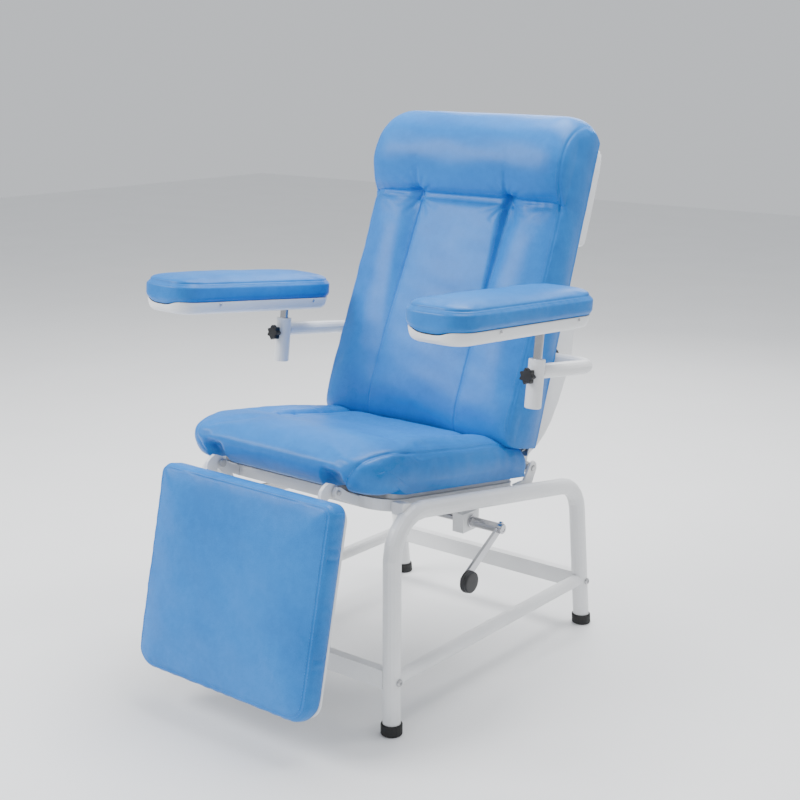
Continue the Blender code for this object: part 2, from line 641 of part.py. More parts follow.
for j in (0, N - 1):
    for i in range(m - 1):
        b = N * m
        f.append((j * m + i, j * m + i + 1, b + j * m + i + 1, b + j * m + i))
shell = node("back_shell", mesh("back_shell", v, f), ABS, P(0, *BACK_PIVOT), smooth=40)
for tag, sg in SIDES:
    boolean(shell, cutter("cut_ear_slot_" + tag, box("c", sg * (BF_X + BF_R - 3), sg * (BF_X + BF_R + 10), -30, 75, -75, -1.5, back)), "DIFFERENCE")
    boolean(shell, cutter("cut_arm_hole_" + tag, turned("c", P(sg * 236, AX_Y, AX_Z), (sg, 0, 0), [(0, 23), (30, 23)], 20)), "DIFFERENCE")
for x0, x1, nm in ((LEVER_X - 34, LEVER_X - 18, "d"), (LINK_X - 16, LINK_X - 2, "l")):
    boolean(shell, cutter("cut_lever_slot_" + nm, box("c", x0, x1, -30, -3, -60, -1.5, back)), "DIFFERENCE")

# ================================================================== leg rest
node("legrest_pad", stack("legrest_pad", LEG_HALF, LEG_LEN / 2, 32, [(GAP, 3), (4, 0), (32, 0), (40, 3), (45, 10), (LEG_PAD_T, 22)],
     lambda x, y, h: leg(x, LEG_LEN / 2 + y, h)), BLUE, P(0, *LEG_PIVOT), smooth=50)
node("legrest_panel", stack("legrest_panel", LEG_HALF - 4, LEG_LEN / 2 - 4, 28, [(-PANEL_T, 4), (-PANEL_T + 3, 0.5), (-1.5, 0), (0, 1.0)],
     lambda x, y, h: leg(x, LEG_LEN / 2 + y, h)), ABS, P(0, *LEG_PIVOT))
LQ = (LEG_PIVOT[0] + LEG_LEVER_R * sin(LEG_LEVER_A0), LEG_PIVOT[1] - LEG_LEVER_R * cos(LEG_LEVER_A0))
for tag, sg in SIDES:
    a = leg(0, 100, -PANEL_T - GAP)
    b = leg(0, 5, -PANEL_T - GAP)
    ay, az, by, bz = a.y / MM - Y_SHIFT, a.z / MM, b.y / MM - Y_SHIFT, b.z / MM
    py, pz = LEG_PIVOT
    # swan neck: down the panel, over its upper edge, round the pivot
    pts = [(ay, az), (by, bz), (by + 0.5, pz + 2), (by + 4, pz + 10.5), (py - 28, pz + 18), (py - 17, pz + 21.5), (py - 6, pz + 18),
           (py + 7, pz + 11.5), (py + 12.5, pz + 3), (py + 12.5, pz - 5), (py + 7, pz - 11), (py - 3, pz - 13), (py - 14, pz - 10),
           (py - 21, pz - 12), (py - 25, pz - 22), (by + 16, bz - 44), (ay + 12, az + 4)]
    hk = node("legrest_hook_" + tag, plate("h", pts, sg * (HOOK_X - 4), sg * (HOOK_X + 4)), WHITE, P(0, *LEG_PIVOT))
    if tag == "R":
        lv = cutter("add_leg_lever", plate("e", capsule(LEG_PIVOT, LQ, 12, 9, 6), -(HOOK_X - 4), -(HOOK_X + 4)))
        boolean(hk, lv, "UNION")
        lp = cutter("add_leg_pin", turned("e", P(-(HOOK_X - 2), *LQ), (1, 0, 0), [(0, 5), (15, 5), (16, 4.5)], 16))
        boolean(hk, lp, "UNION")
    h = cutter("cut_hook_" + tag, turned("c", P(sg * (HOOK_X - 20), *LEG_PIVOT), (sg, 0, 0), [(0, 5.35), (40, 5.35)], 16))
    boolean(hk, h, "DIFFERENCE")

# long link from the torque tube lever to the leg rest lever
lk = node("leg_link", plate("leg_link", capsule(LQ, LEV, 10, 10, 7), LINK_X - 4, LINK_X + 4), STEEL, P(LINK_X, *LEV))
boolean(lk, cutter("cut_link_rear", turned("c", P(LINK_X - 10, *LEV), (1, 0, 0), [(0, 6.35), (20, 6.35)], 16)), "DIFFERENCE")
boolean(lk, cutter("cut_link_front", turned("c", P(LINK_X - 10, *LQ), (1, 0, 0), [(0, 5.6), (20, 5.6)], 16)), "DIFFERENCE")

# ================================================================== crank drive
O = P(LEVER_X, CRANK_Y, CRANK_Z)
SCREW_DIR = Vector((0, 1, -TOP_FALL)).normalized()
# side bearing block, hung from the seat rail
hb = node("crank_housing", box("crank_housing", 228, 256, CRANK_Y - 29, CRANK_Y + 29, CRANK_Z - 21, CRANK_Z + 21), WHITE)
zr = seat_z(CRANK_Y) - BOARD_T - RAIL_H - 2 * GAP
boolean(hb, cutter("add_hanger", plate("h", [(CRANK_Y - 22, CRANK_Z), (CRANK_Y + 22, CRANK_Z), (CRANK_Y + 22, zr - SEAT_FALL * 22),
        (CRANK_Y - 22, zr + SEAT_FALL * 22)], 232, 240)), "UNION")
boolean(hb, cutter("cut_housing", turned("c", P(215, CRANK_Y, CRANK_Z), (1, 0, 0), [(0, 8.4), (60, 8.4)], 16)), "DIFFERENCE")
# shaft: gear seat inboard, a thicker sleeve outboard
X0 = LEVER_X + 22
sh = node("crank_shaft", turned("crank_shaft", P(X0, CRANK_Y, CRANK_Z), (1, 0, 0),
          [(-14, 5.5), (4.5, 5.5), (4.5, 8), (257 - X0, 8), (257 - X0, 14), (260 - X0, 14), (260.5 - X0, 11),
           (CRANK_X + 9.5 - X0, 11), (CRANK_X + 11 - X0, 9.5), (CRANK_X + 11 - X0, 6), (CRANK_X + 10 - X0, 5)], 20),
          CHROME, P(CRANK_X, CRANK_Y, CRANK_Z))
hang = Vector((0, -sin(CRANK_HANG), -cos(CRANK_HANG)))
perp = Vector((0, cos(CRANK_HANG), -sin(CRANK_HANG)))


def crk(x, a, b):
    """Crank arm frame: a down the arm, b across it."""
    c = P(x, CRANK_Y, CRANK_Z)
    return c + hang * (a * MM) + perp * (b * MM)


def crank_flat(name, x0, x1, pts):
    return loft(name, [[crk(x0, a, b) for a, b in pts], [crk(x1, a, b) for a, b in pts]])


# the flat arm goes through a slot in the sleeve
boolean(sh, cutter("cut_arm_slot", crank_flat("c", CRANK_X - 3.5 - GAP, CRANK_X + 3.5 + GAP,
        [(-16, -8 - GAP), (16, -8 - GAP), (16, 8 + GAP), (-16, 8 + GAP)])), "DIFFERENCE")
tip = [(CRANK_LEN + 9 * cos(t), 9 * sin(t)) for t in [radians(-90 + 30 * k) for k in range(7)]]
outline = [(-14, 6), (-14, -6), (-12, -8), (16, -8)] + tip + [(16, 8), (-12, 8)]
ab = node("crank_arm", crank_flat("crank_arm", CRANK_X - 3.5, CRANK_X + 3.5, outline), CHROME, crk(CRANK_X, 0, 0))
boolean(ab, cutter("add_spindle", turned("s", crk(CRANK_X + 2, CRANK_LEN, 0), (1, 0, 0),
        [(0, 4), (16.5, 4), (16.5, 7), (18.5, 7), (19.3, 5.5)], 16)), "UNION")
kb = node("crank_knob", ring_solid("crank_knob", crk(CRANK_X + 2, CRANK_LEN, 0), (1, 0, 0),
          [(2.2, 4.35), (2.2, 9), (3.2, 20), (4.6, 23), (6.5, 24), (12.5, 24), (14.8, 22.6), (15.6, 20.0), (15.4, 9.5), (15.9, 8.5), (15.9, 4.35)], 24), BLACK,
          crk(CRANK_X + 2, CRANK_LEN, 0))


# mitre gears at the inner end of the shaft
def mitre(name, apex, axis, ref, phase, bore, look, origin):
    """Straight-toothed 45 degree gear: blank cone with trapezoidal teeth."""
    axis = Vector(axis).normalized()
    u = (Vector(ref) - axis * Vector(ref).dot(axis)).normalized()
    w = axis.cross(u)
    N2 = GEAR_TEETH
    big, small = GEAR_R, GEAR_R * 0.58
    add_, ded = 2.2, 2.9

    def pt(along, rad, ang):
        return apex + axis * (along * MM) + (u * cos(ang) + w * sin(ang)) * (rad * MM)

    def toothed(c):
        """ring at cone distance c (pitch radius c, along c)"""
        k = c / big
        pts = []
        for i in range(N2):
            a = 2 * pi * (i + phase) / N2
            p = 2 * pi / N2
            for off, hgt in ((-0.36, -ded), (-0.20, -ded), (-0.115, add_), (0.115, add_), (0.20, -ded)):
                h2 = hgt * k
                pts.append(pt(c - h2 * 0.7071, c + h2 * 0.7071, a + off * p))
        return pts
    n5 = N2 * 5
    A, B = toothed(small), toothed(big)
    hub = [pt(big + 7, 11.5, 2 * pi * (i // 5 + phase + ((-0.36, -0.20, -0.115, 0.115, 0.20)[i % 5])) / N2) for i in range(n5)]
    bo = [pt(big + 7, bore, 2 * pi * (i // 5 + phase + ((-0.36, -0.20, -0.115, 0.115, 0.20)[i % 5])) / N2) for i in range(n5)]
    bi = [pt(small + 0.5, bore, 2 * pi * (i // 5 + phase + ((-0.36, -0.20, -0.115, 0.115, 0.20)[i % 5])) / N2) for i in range(n5)]
    rings = [A, B, hub, bo, bi]
    v, f = [], []
    for r in rings:
        v += r
    for j in range(5):
        jj = (j + 1) % 5
        for i in range(n5):
            k = (i + 1) % n5
            f.append((j * n5 + i, j * n5 + k, jj * n5 + k, jj * n5 + i))
    return node(name, mesh(name, v, f), look, origin, smooth=20)


mitre("bevel_gear_input", O, (1, 0, 0), SCREW_DIR, 0.0, 5.85, STEEL, O)
mitre("bevel_gear_screw", O, SCREW_DIR, (1, 0, 0), 0.5, 5.85, STEEL, O)

# open gearbox bracket: a web with two bearing cheeks, hung from the seat rails
Zg = Vector((0, 0, 1))


def gx(x, a, h):
    """Screw frame at the gear centre: a along the screw, h above it."""
    q = O + SCREW_DIR * (a * MM) + Vector((0, -SCREW_DIR.z, SCREW_DIR.y)) * (h * MM)
    return Vector((x * MM, q.y, q.z))


def gbox(name, x0, x1, a0, a1, h0, h1):
    return loft(name, [[gx(x0, a0, h0), gx(x0, a1, h0), gx(x0, a1, h1), gx(x0, a0, h1)],
                       [gx(x1, a0, h0), gx(x1, a1, h0), gx(x1, a1, h1), gx(x1, a0, h1)]])


gb = node("gearbox_bracket", gbox("gearbox_bracket", LEVER_X - 24, 227.6, -26, 36, 25, 29), WHITE)
boolean(gb, cutter("add_hang_tab", gbox("g", LEVER_X + 14, LEVER_X + 20, -18, 22, 27, 68)), "UNION")
boolean(gb, cutter("add_cheek_x", gbox("g", LEVER_X + 30, LEVER_X + 36, -20, 20, -18, 26)), "UNION")
boolean(gb, cutter("add_cheek_s", gbox("g", LEVER_X - 18, LEVER_X + 18, 30, 36, -18, 26)), "UNION")
boolean(gb, cutter("cut_cheek_x", turned("c", P(LEVER_X + 20, CRANK_Y, CRANK_Z), (1, 0, 0), [(0, 8.4), (30, 8.4)], 16)), "DIFFERENCE")
boolean(gb, cutter("cut_cheek_s", turned("c", O, SCREW_DIR, [(24, 8.4), (44, 8.4)], 16)), "DIFFERENCE")

# lead screw, its thread taken at the outside diameter
SCREW_LEN = 265.0
scr = [(8, 5.5), (27.2, 5.5), (27.2, 8.0), (SCREW_LEN - 3, 8.0), (SCREW_LEN, 5.5)]
sw = node("lead_screw", turned("lead_screw", O, SCREW_DIR, scr, 16), STEEL, O)
# nut with a slotted side plate that the lever pin rides in
lev_v = P(LEVER_X, *LEV) - O
NUT_A = lev_v.dot(SCREW_DIR) / MM
NUT_H = lev_v.dot(Vector((0, -SCREW_DIR.z, SCREW_DIR.y))) / MM
NUT_BODY = NUT_A - 42
nt = node("screw_nut", gbox("screw_nut", LEVER_X - 15, LEVER_X + 15, NUT_BODY - 20, NUT_BODY + 14, -15, 15), BRASS, O)
boolean(nt, cutter("add_nut_plate", gbox("g", LEVER_X - 17, LEVER_X - 10, NUT_BODY - 12, NUT_A + 18, NUT_H - 38, NUT_H + 9)), "UNION")
boolean(nt, cutter("cut_nut_slot", loft("s", [[gx(LEVER_X - 22, NUT_A + p, NUT_H + q) for p, q in capsule((0, -24), (0, 40), 9.2, 9.2, 7)],
                                             [gx(LEVER_X - 5, NUT_A + p, NUT_H + q) for p, q in capsule((0, -24), (0, 40), 9.2, 9.2, 7)]])), "DIFFERENCE")
boolean(nt, cutter("cut_nut_bore", turned("c", O, SCREW_DIR, [(NUT_BODY - 40, 8.45), (NUT_BODY + 40, 8.45)], 16)), "DIFFERENCE")

# ================================================================== armrests
for tag, sg in SIDES:
    top = post_out(tag)
    axis = Vector((0, sin(ARM_TILT), cos(ARM_TILT)))
    foot_pt = arm(tag, 0, 0, 0)
    tilt_o = P(sg * ARM_X, AX_Y, AX_Z)
    # socket with the bent arm tube
    so = node("arm_bracket_" + tag, ring_solid("arm_bracket", foot_pt, axis,
              [(0, POST_R + 0.5), (0, SOCKET_R - 2), (2, SOCKET_R), (SOCKET_LEN - 1, SOCKET_R), (SOCKET_LEN, SOCKET_R - 1), (SOCKET_LEN, POST_R + 0.5)], 20),
              WHITE, P(sg * 250, AX_Y, AX_Z))
    p0 = arm(tag, 0, 12, ARM_TUBE_H)
    p1 = arm(tag, 0, ARM_RUN, ARM_TUBE_H)
    p2 = P(sg * 232, AX_Y, AX_Z)
    tube = cutter("add_arm_tube_" + tag, pipe("t", rounded_path([p0, p1, p2], 50, 6), axis, ARM_TUBE_R, 1.7, 16))
    boolean(so, tube, "UNION")
    boolean(so, cutter("cut_stud_" + tag, turned("c", arm(tag, 0, -30, KNOB_H), (arm(tag, 0, 1, 0) - arm(tag, 0, 0, 0)), [(0, 4.4), (26, 4.4)], 12)), "DIFFERENCE")
    node("arm_bush_" + tag, ring_solid("arm_bush", P(sg * 234, AX_Y, AX_Z), (sg, 0, 0),
         [(0, 12.35), (0, 13.95), (34, 13.95), (34, 12.35)], 16), BLACK, P(sg * 250, AX_Y, AX_Z))
    # post and its top plate, square to the tray
    th = REST[tag][3]
    up = Vector((0, sin(th), cos(th)))
    hinge = arm(tag, 0, 0, top)
    po = node("arm_post_" + tag, turned("arm_post", foot_pt, axis,
         [(6, POST_R - 1.5), (7.5, POST_R), (top - 3, POST_R)], 20), CHROME, hinge)
    boolean(po, cutter("add_post_plate_" + tag, turned("p", hinge, up, [(-5 - GAP, 24), (-4, 26), (-GAP, 26)], 20)), "UNION")
    # clamp knob: seven lobes on a stud
    fwd = (arm(tag, 0, -1, 0) - arm(tag, 0, 0, 0)).normalized()
    kn = []
    c = arm(tag, 0, 0, KNOB_H)
    side_v = axis.cross(fwd).normalized()
    for a_, base_r, lob in ((10.7, 3.9, 0), (19.0, 3.9, 0), (19.0, 8.0, 0), (24.0, 8.0, 0), (25.5, 15.5, 2.6), (37.5, 15.5, 2.6), (39.5, 13.5, 2.2)):
        kn.append([c + fwd * (a_ * MM) + (side_v * cos(2 * pi * k / 28) + axis * sin(2 * pi * k / 28)) * ((base_r + lob * cos(7 * 2 * pi * k / 28)) * MM)
                   for k in range(28)])
    node("arm_knob_" + tag, loft("arm_knob", kn), BLACK, c, smooth=40)

    def place(x, y, h, tag=tag):
        return rest(tag, x, y, h)
    # tray moulding and pad
    node("arm_tray_" + tag, stack("arm_tray", ARM_B - 1, ARM_A - 2, ARM_R - 1, [(0, 18), (2, 12), (8, 5), (16, 2), (26, 0), (28, 0.5)], place, 6), ABS, hinge)
    node("arm_pad_" + tag, stack("arm_pad", ARM_B, ARM_A, ARM_R, [(28 + GAP, 3), (32, 0), (60, 0), (68, 3), (76, 11), (80, 24)], place, 6), BLUE, hinge, smooth=50)
    # two screws on each tray, both on the side that faces +X
    for nm in ("front", "rear"):
        o = rest(tag, sg * (ARM_B - 1 + GAP), SCREW_AT[tag][nm], 22)
        out = (rest(tag, sg * 100, 0, 0) - rest(tag, 0, 0, 0)).normalized()
        node("arm_screw_%s_%s" % (nm, tag), turned("arm_screw", o, out, [(0, 3.6), (1.2, 3.6), (2.0, 2.4), (2.0, 1.2), (1.2, 1.2)], 10), STEEL)
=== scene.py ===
"""Looks of the patient recliner chair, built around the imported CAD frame."""
import json
import math
from math import sin, cos, pi, radians, sqrt, hypot

import bmesh
import bpy
import numpy as np
from mathutils import Matrix, Vector
from mathutils.bvhtree import BVHTree

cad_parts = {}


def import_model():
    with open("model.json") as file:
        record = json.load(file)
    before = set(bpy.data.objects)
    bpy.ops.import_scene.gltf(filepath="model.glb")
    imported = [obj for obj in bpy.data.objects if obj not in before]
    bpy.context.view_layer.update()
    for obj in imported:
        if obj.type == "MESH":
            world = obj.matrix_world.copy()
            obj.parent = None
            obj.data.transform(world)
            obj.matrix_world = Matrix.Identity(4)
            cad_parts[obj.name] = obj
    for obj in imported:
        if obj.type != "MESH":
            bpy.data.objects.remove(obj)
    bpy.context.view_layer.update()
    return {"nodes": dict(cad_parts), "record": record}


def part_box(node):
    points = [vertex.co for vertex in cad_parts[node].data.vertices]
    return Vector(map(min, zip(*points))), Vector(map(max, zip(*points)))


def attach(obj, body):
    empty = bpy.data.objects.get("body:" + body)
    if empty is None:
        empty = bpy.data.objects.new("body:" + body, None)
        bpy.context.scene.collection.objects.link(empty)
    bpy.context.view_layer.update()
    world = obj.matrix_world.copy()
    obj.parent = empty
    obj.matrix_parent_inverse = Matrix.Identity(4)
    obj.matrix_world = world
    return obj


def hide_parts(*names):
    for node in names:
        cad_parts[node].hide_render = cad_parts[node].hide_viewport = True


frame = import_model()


RNG = np.random.default_rng(7)
YS = -288.133                               # the front feet, in mm

# ------------------------------------------------------------ local frames (mm)
TILT_B, OB = radians(19.3), (528.0, 487.0)
TILT_L, OL = radians(12.5), (-92.0, 508.5)
REST = {"L": (372.0, 231.7, 816.2, radians(3.2), radians(2.1)),
        "R": (366.39, 237.3, 778.4, radians(5.5), radians(-4.0))}


def world(x, y, z):
    return np.stack([x, y + YS, z], -1) * 0.001


def back(q):
    x, s, d = q[:, 0], q[:, 1], q[:, 2]
    return world(x, OB[0] + s * sin(TILT_B) - d * cos(TILT_B), OB[1] + s * cos(TILT_B) + d * sin(TILT_B))


def legf(q):
    x, u, w = q[:, 0], q[:, 1], q[:, 2]
    return world(x, OL[0] - u * sin(TILT_L) - w * cos(TILT_L), OL[1] - u * cos(TILT_L) + w * sin(TILT_L))


def seatf(q):
    return world(q[:, 0], q[:, 1], q[:, 2])


def restf(side):
    sg = 1 if side == "L" else -1
    c0, c1, c2, th, ps = REST[side]

    def f(q):
        x, a, h = q[:, 0], q[:, 1], q[:, 2]
        xi, ai = x * cos(ps) + a * sin(ps), a * cos(ps) - x * sin(ps)
        return world(sg * (c0 + xi), c1 + h * sin(th) + ai * cos(th), c2 + h * cos(th) - ai * sin(th))
    return f


# ------------------------------------------------------------ small maths
def sstep(x, a, b):
    t = np.clip((x - a) / (b - a), 0, 1)
    return t * t * (3 - 2 * t)


def smooth_tab(tab, x):
    """Monotone cubic through a table."""
    t = np.array(tab, float)
    X, Y = t[:, 0], t[:, 1]
    h = np.diff(X)
    dl = np.diff(Y) / h
    m = np.zeros(len(X))
    m[1:-1] = np.where(dl[:-1] * dl[1:] > 0, 2 * dl[:-1] * dl[1:] / (dl[:-1] + dl[1:] + 1e-12), 0)
    m[0], m[-1] = dl[0], dl[-1]
    x = np.clip(x, X[0], X[-1])
    i = np.clip(np.searchsorted(X, x, side="right") - 1, 0, len(h) - 1)
    s = (x - X[i]) / h[i]
    return ((2 * s**3 - 3 * s**2 + 1) * Y[i] + (s**3 - 2 * s**2 + s) * h[i] * m[i]
            + (-2 * s**3 + 3 * s**2) * Y[i + 1] + (s**3 - s**2) * h[i] * m[i + 1])


def bump(x, c, w):
    return np.exp(-((x - c) / w) ** 2)


def groove(x, c, wide, deep, fine, cut):
    """A soft valley with a crisp stitched line at its bottom."""
    return deep * np.exp(-((x - c) / wide) ** 2) + cut * np.exp(-((x - c) / fine) ** 2)


def wrinkle(x, y, p0, p1, depth, width, tail=0.5):
    """Tapered crease from p0 to p1, deepest near p0."""
    dx, dy = p1[0] - p0[0], p1[1] - p0[1]
    L2 = dx * dx + dy * dy
    t = ((x - p0[0]) * dx + (y - p0[1]) * dy) / L2
    tc = np.clip(t, 0, 1)
    dist = np.hypot(x - p0[0] - tc * dx, y - p0[1] - tc * dy)
    return depth * np.exp(-(dist / (width * (0.6 + 0.6 * tc))) ** 2) * (1 - tc) ** tail


# ------------------------------------------------------------ mesh helpers
def new_object(name, verts, faces):
    me = bpy.data.meshes.new(name)
    me.from_pydata(np.asarray(verts, float).tolist(), [], [tuple(int(i) for i in f) for f in faces])
    me.validate()
    me.update()
    ob = bpy.data.objects.new(name, me)
    bpy.context.scene.collection.objects.link(ob)
    return ob


def outward(ob):
    bm = bmesh.new()
    bm.from_mesh(ob.data)
    bmesh.ops.recalc_face_normals(bm, faces=bm.faces)
    bm.to_mesh(ob.data)
    bm.free()
    ob.data.update()


def smooth(ob, angle=None):
    ob.data.shade_smooth()
    if angle:
        ob.data.set_sharp_from_angle(angle=radians(angle))


def coords(ob):
    a = np.empty(len(ob.data.vertices) * 3)
    ob.data.vertices.foreach_get("co", a)
    return a.reshape(-1, 3)


def set_coords(ob, a):
    ob.data.vertices.foreach_set("co", np.asarray(a, float).ravel())
    ob.data.update()


def normals(ob):
    a = np.empty(len(ob.data.vertices) * 3)
    ob.data.vertex_normals.foreach_get("vector", a)
    return a.reshape(-1, 3)


def apply_all(ob):
    dg = bpy.context.evaluated_depsgraph_get()
    me = bpy.data.meshes.new_from_object(ob.evaluated_get(dg))
    old = ob.data
    ob.modifiers.clear()
    ob.data = me
    bpy.data.meshes.remove(old)


def weld(ob, dist):
    """Joins coincident vertices, which would stop a cloth solve."""
    bm = bmesh.new()
    bm.from_mesh(ob.data)
    bmesh.ops.remove_doubles(bm, verts=bm.verts, dist=dist)
    bmesh.ops.dissolve_degenerate(bm, edges=bm.edges, dist=0.05)
    bm.to_mesh(ob.data)
    bm.free()
    ob.data.update()


def lattice(name, us, vs, ws, f):
    """Closed quad skin of a block of nodes; f maps (u, v, w) arrays to points."""
    nu, nv, nw = len(us), len(vs), len(ws)
    idx = -np.ones((nu, nv, nw), int)
    surf = np.zeros((nu, nv, nw), bool)
    surf[[0, -1]] = surf[:, [0, -1]] = surf[:, :, [0, -1]] = True
    I, J, K = np.nonzero(surf)
    idx[I, J, K] = np.arange(len(I))
    pts = f(np.asarray(us)[I], np.asarray(vs)[J], np.asarray(ws)[K])
    F = []

    def quads(a):
        F.append(np.stack([a[:-1, :-1], a[1:, :-1], a[1:, 1:], a[:-1, 1:]], -1).reshape(-1, 4))
    for a in (idx[0], idx[-1], idx[:, 0], idx[:, -1], idx[:, :, 0], idx[:, :, -1]):
        quads(a)
    ob = new_object(name, pts, np.concatenate(F))
    weld(ob, 0.25)
    outward(ob)
    return ob


def subdivide(ob, levels=1):
    m = ob.modifiers.new("sub", "SUBSURF")
    m.levels = m.render_levels = levels
    apply_all(ob)


def swell(ob, pinned, pressure, cap, frames=20, stiff=15.0):
    """Cloth inflation of the skin in local millimetres; pinned is 0..1 per vertex."""
    rest = coords(ob)
    set_coords(ob, rest * 0.001)
    g = ob.vertex_groups.new(name="pin")
    for w in (0.25, 0.5, 0.75, 1.0):
        ids = np.nonzero(np.abs(pinned - w) < 0.125)[0]
        if len(ids):
            g.add(ids.tolist(), float(w), "REPLACE")
    m = ob.modifiers.new("cloth", "CLOTH")
    c = m.settings
    c.use_pressure = True
    c.uniform_pressure_force = pressure
    c.effector_weights.gravity = 0.0
    c.vertex_group_mass = "pin"
    c.tension_stiffness = c.compression_stiffness = stiff
    c.shear_stiffness = 6.0
    c.bending_stiffness = 0.6
    c.quality = 4
    m.point_cache.frame_start, m.point_cache.frame_end = 1, frames
    sc = bpy.context.scene
    sc.frame_start, sc.frame_end = 1, frames
    for k in range(1, frames + 1):
        sc.frame_set(k)
    dg = bpy.context.evaluated_depsgraph_get()
    me = ob.evaluated_get(dg).to_mesh()
    a = np.empty(len(me.vertices) * 3)
    me.vertices.foreach_get("co", a)
    ob.evaluated_get(dg).to_mesh_clear()
    a = a.reshape(-1, 3) * 1000.0
    ob.modifiers.clear()
    ob.vertex_groups.clear()
    sc.frame_set(1)
    mv = a - rest
    mv[~np.isfinite(mv).all(1)] = 0
    n = np.linalg.norm(mv, axis=1)
    k = np.where(n > 1e-9, cap * np.tanh(n / cap) / np.maximum(n, 1e-9), 1.0)
    set_coords(ob, rest + mv * k[:, None])
    return float(np.percentile(n, 99))


def tube_along(name, pts, r, seg=8, closed=False):
    """Round bead that follows points (metres)."""
    p = np.asarray(pts, float)
    n = len(p)
    if closed:
        t = np.roll(p, -1, 0) - np.roll(p, 1, 0)
    else:
        t = np.gradient(p, axis=0)
    t /= np.linalg.norm(t, axis=1)[:, None] + 1e-12
    ref = np.array([0.0, 0.0, 1.0]) if abs(t[0][2]) < 0.8 else np.array([1.0, 0.0, 0.0])
    u = np.zeros_like(p)
    prev = ref - t[0] * ref.dot(t[0])
    for i in range(n):
        prev = prev - t[i] * prev.dot(t[i])
        prev /= np.linalg.norm(prev) + 1e-12
        u[i] = prev
    w = np.cross(t, u)
    ang = np.arange(seg) * 2 * pi / seg
    V = (p[:, None] + r * (u[:, None] * np.cos(ang)[None, :, None] + w[:, None] * np.sin(ang)[None, :, None])).reshape(-1, 3)
    F = []
    m = n if closed else n - 1
    for i in range(m):
        j = (i + 1) % n
        for k in range(seg):
            kk = (k + 1) % seg
            F.append((i * seg + k, i * seg + kk, j * seg + kk, j * seg + k))
    if not closed:
        F.append(tuple(range(seg - 1, -1, -1)))
        F.append(tuple((n - 1) * seg + k for k in range(seg)))
    ob = new_object(name, V, F)
    outward(ob)
    smooth(ob, 60)
    return ob


def resample(pts, step):
    p = np.asarray(pts, float)
    d = np.r_[0, np.cumsum(np.linalg.norm(np.diff(p, axis=0), axis=1))]
    n = max(2, int(round(d[-1] / step)) + 1)
    q = np.linspace(0, d[-1], n)
    return np.stack([np.interp(q, d, p[:, k]) for k in range(p.shape[1])], -1)


def curve_through(ctrl, n=200):
    """Catmull-Rom curve through control points."""
    c = np.asarray(ctrl, float)
    c = np.vstack([2 * c[0] - c[1], c, 2 * c[-1] - c[-2]])
    out = []
    m = len(c) - 3
    for i in range(m):
        t = np.linspace(0, 1, max(3, n // m), endpoint=(i == m - 1))[:, None]
        p0, p1, p2, p3 = c[i:i + 4]
        out.append(0.5 * ((2 * p1) + (-p0 + p2) * t + (2 * p0 - 5 * p1 + 4 * p2 - p3) * t**2 + (-p0 + 3 * p1 - 3 * p2 + p3) * t**3))
    return np.vstack(out)


def stitches(name, ob, lines, pitch=7.0, length=4.2, r=0.55, lift=0.15):
    """Thread stitches lying on the skin along lines given in metres."""
    bvh = BVHTree.FromObject(ob, bpy.context.evaluated_depsgraph_get())
    V, F = [], []
    prof = [(-0.5, 0.25), (-0.42, 0.8), (-0.2, 1.0), (0.2, 1.0), (0.42, 0.8), (0.5, 0.25)]
    for line in lines:
        p = resample(line, pitch * 0.001)
        for i in range(1, len(p) - 1):
            loc, nrm, _, _ = bvh.find_nearest(Vector(p[i]))
            if loc is None:
                continue
            t = Vector(p[i + 1] - p[i - 1])
            t = (t - nrm * t.dot(nrm)).normalized()
            b = nrm.cross(t)
            base = len(V)
            for a, k in prof:
                c = loc + nrm * (lift * 0.001 - abs(a) * abs(a) * 0.0009) + t * (a * length * 0.001)
                for q in range(6):
                    an = 2 * pi * q / 6
                    V.append(c + (b * cos(an) + nrm * sin(an)) * (k * r * 0.001))
            for j in range(len(prof) - 1):
                for q in range(6):
                    qq = (q + 1) % 6
                    F.append((base + j * 6 + q, base + j * 6 + qq, base + (j + 1) * 6 + qq, base + (j + 1) * 6 + q))
            F.append(tuple(base + q for q in range(5, -1, -1)))
            F.append(tuple(base + (len(prof) - 1) * 6 + q for q in range(6)))
    o = new_object(name, [tuple(v) for v in V], F)
    outward(o)
    smooth(o)
    return o


# ------------------------------------------------------------ materials
def tree(name):
    m = bpy.data.materials.new(name)
    m.use_nodes = True
    t = m.node_tree
    b = t.nodes["Principled BSDF"]
    return m, t, b


def add(t, kind, **kw):
    n = t.nodes.new(kind)
    for k, v in kw.items():
        if k in n.inputs:
            n.inputs[k].default_value = v
        else:
            setattr(n, k, v)
    return n


def ramp(t, src, stops):
    r = t.nodes.new("ShaderNodeValToRGB")
    t.links.new(src, r.inputs[0])
    e = r.color_ramp.elements
    e[0].position, e[0].color = stops[0][0], (*stops[0][1], 1)
    e[1].position, e[1].color = stops[1][0], (*stops[1][1], 1)
    for p, c in stops[2:]:
        x = e.new(p)
        x.color = (*c, 1)
    return r


def rough_from(t, b, src, lo, hi):
    m = add(t, "ShaderNodeMapRange")
    t.links.new(src, m.inputs["Value"])
    m.inputs["To Min"].default_value, m.inputs["To Max"].default_value = lo, hi
    t.links.new(m.outputs[0], b.inputs["Roughness"])


def bump_from(t, b, srcs):
    """srcs: (socket, strength, distance) chained."""
    last = None
    for s, k, d in srcs:
        n = add(t, "ShaderNodeBump")
        n.inputs["Strength"].default_value = k
        n.inputs["Distance"].default_value = d
        t.links.new(s, n.inputs["Height"])
        if last:
            t.links.new(last.outputs[0], n.inputs["Normal"])
        last = n
    t.links.new(last.outputs[0], b.inputs["Normal"])


def obj_coords(t):
    return t.nodes.new("ShaderNodeTexCoord").outputs["Object"]


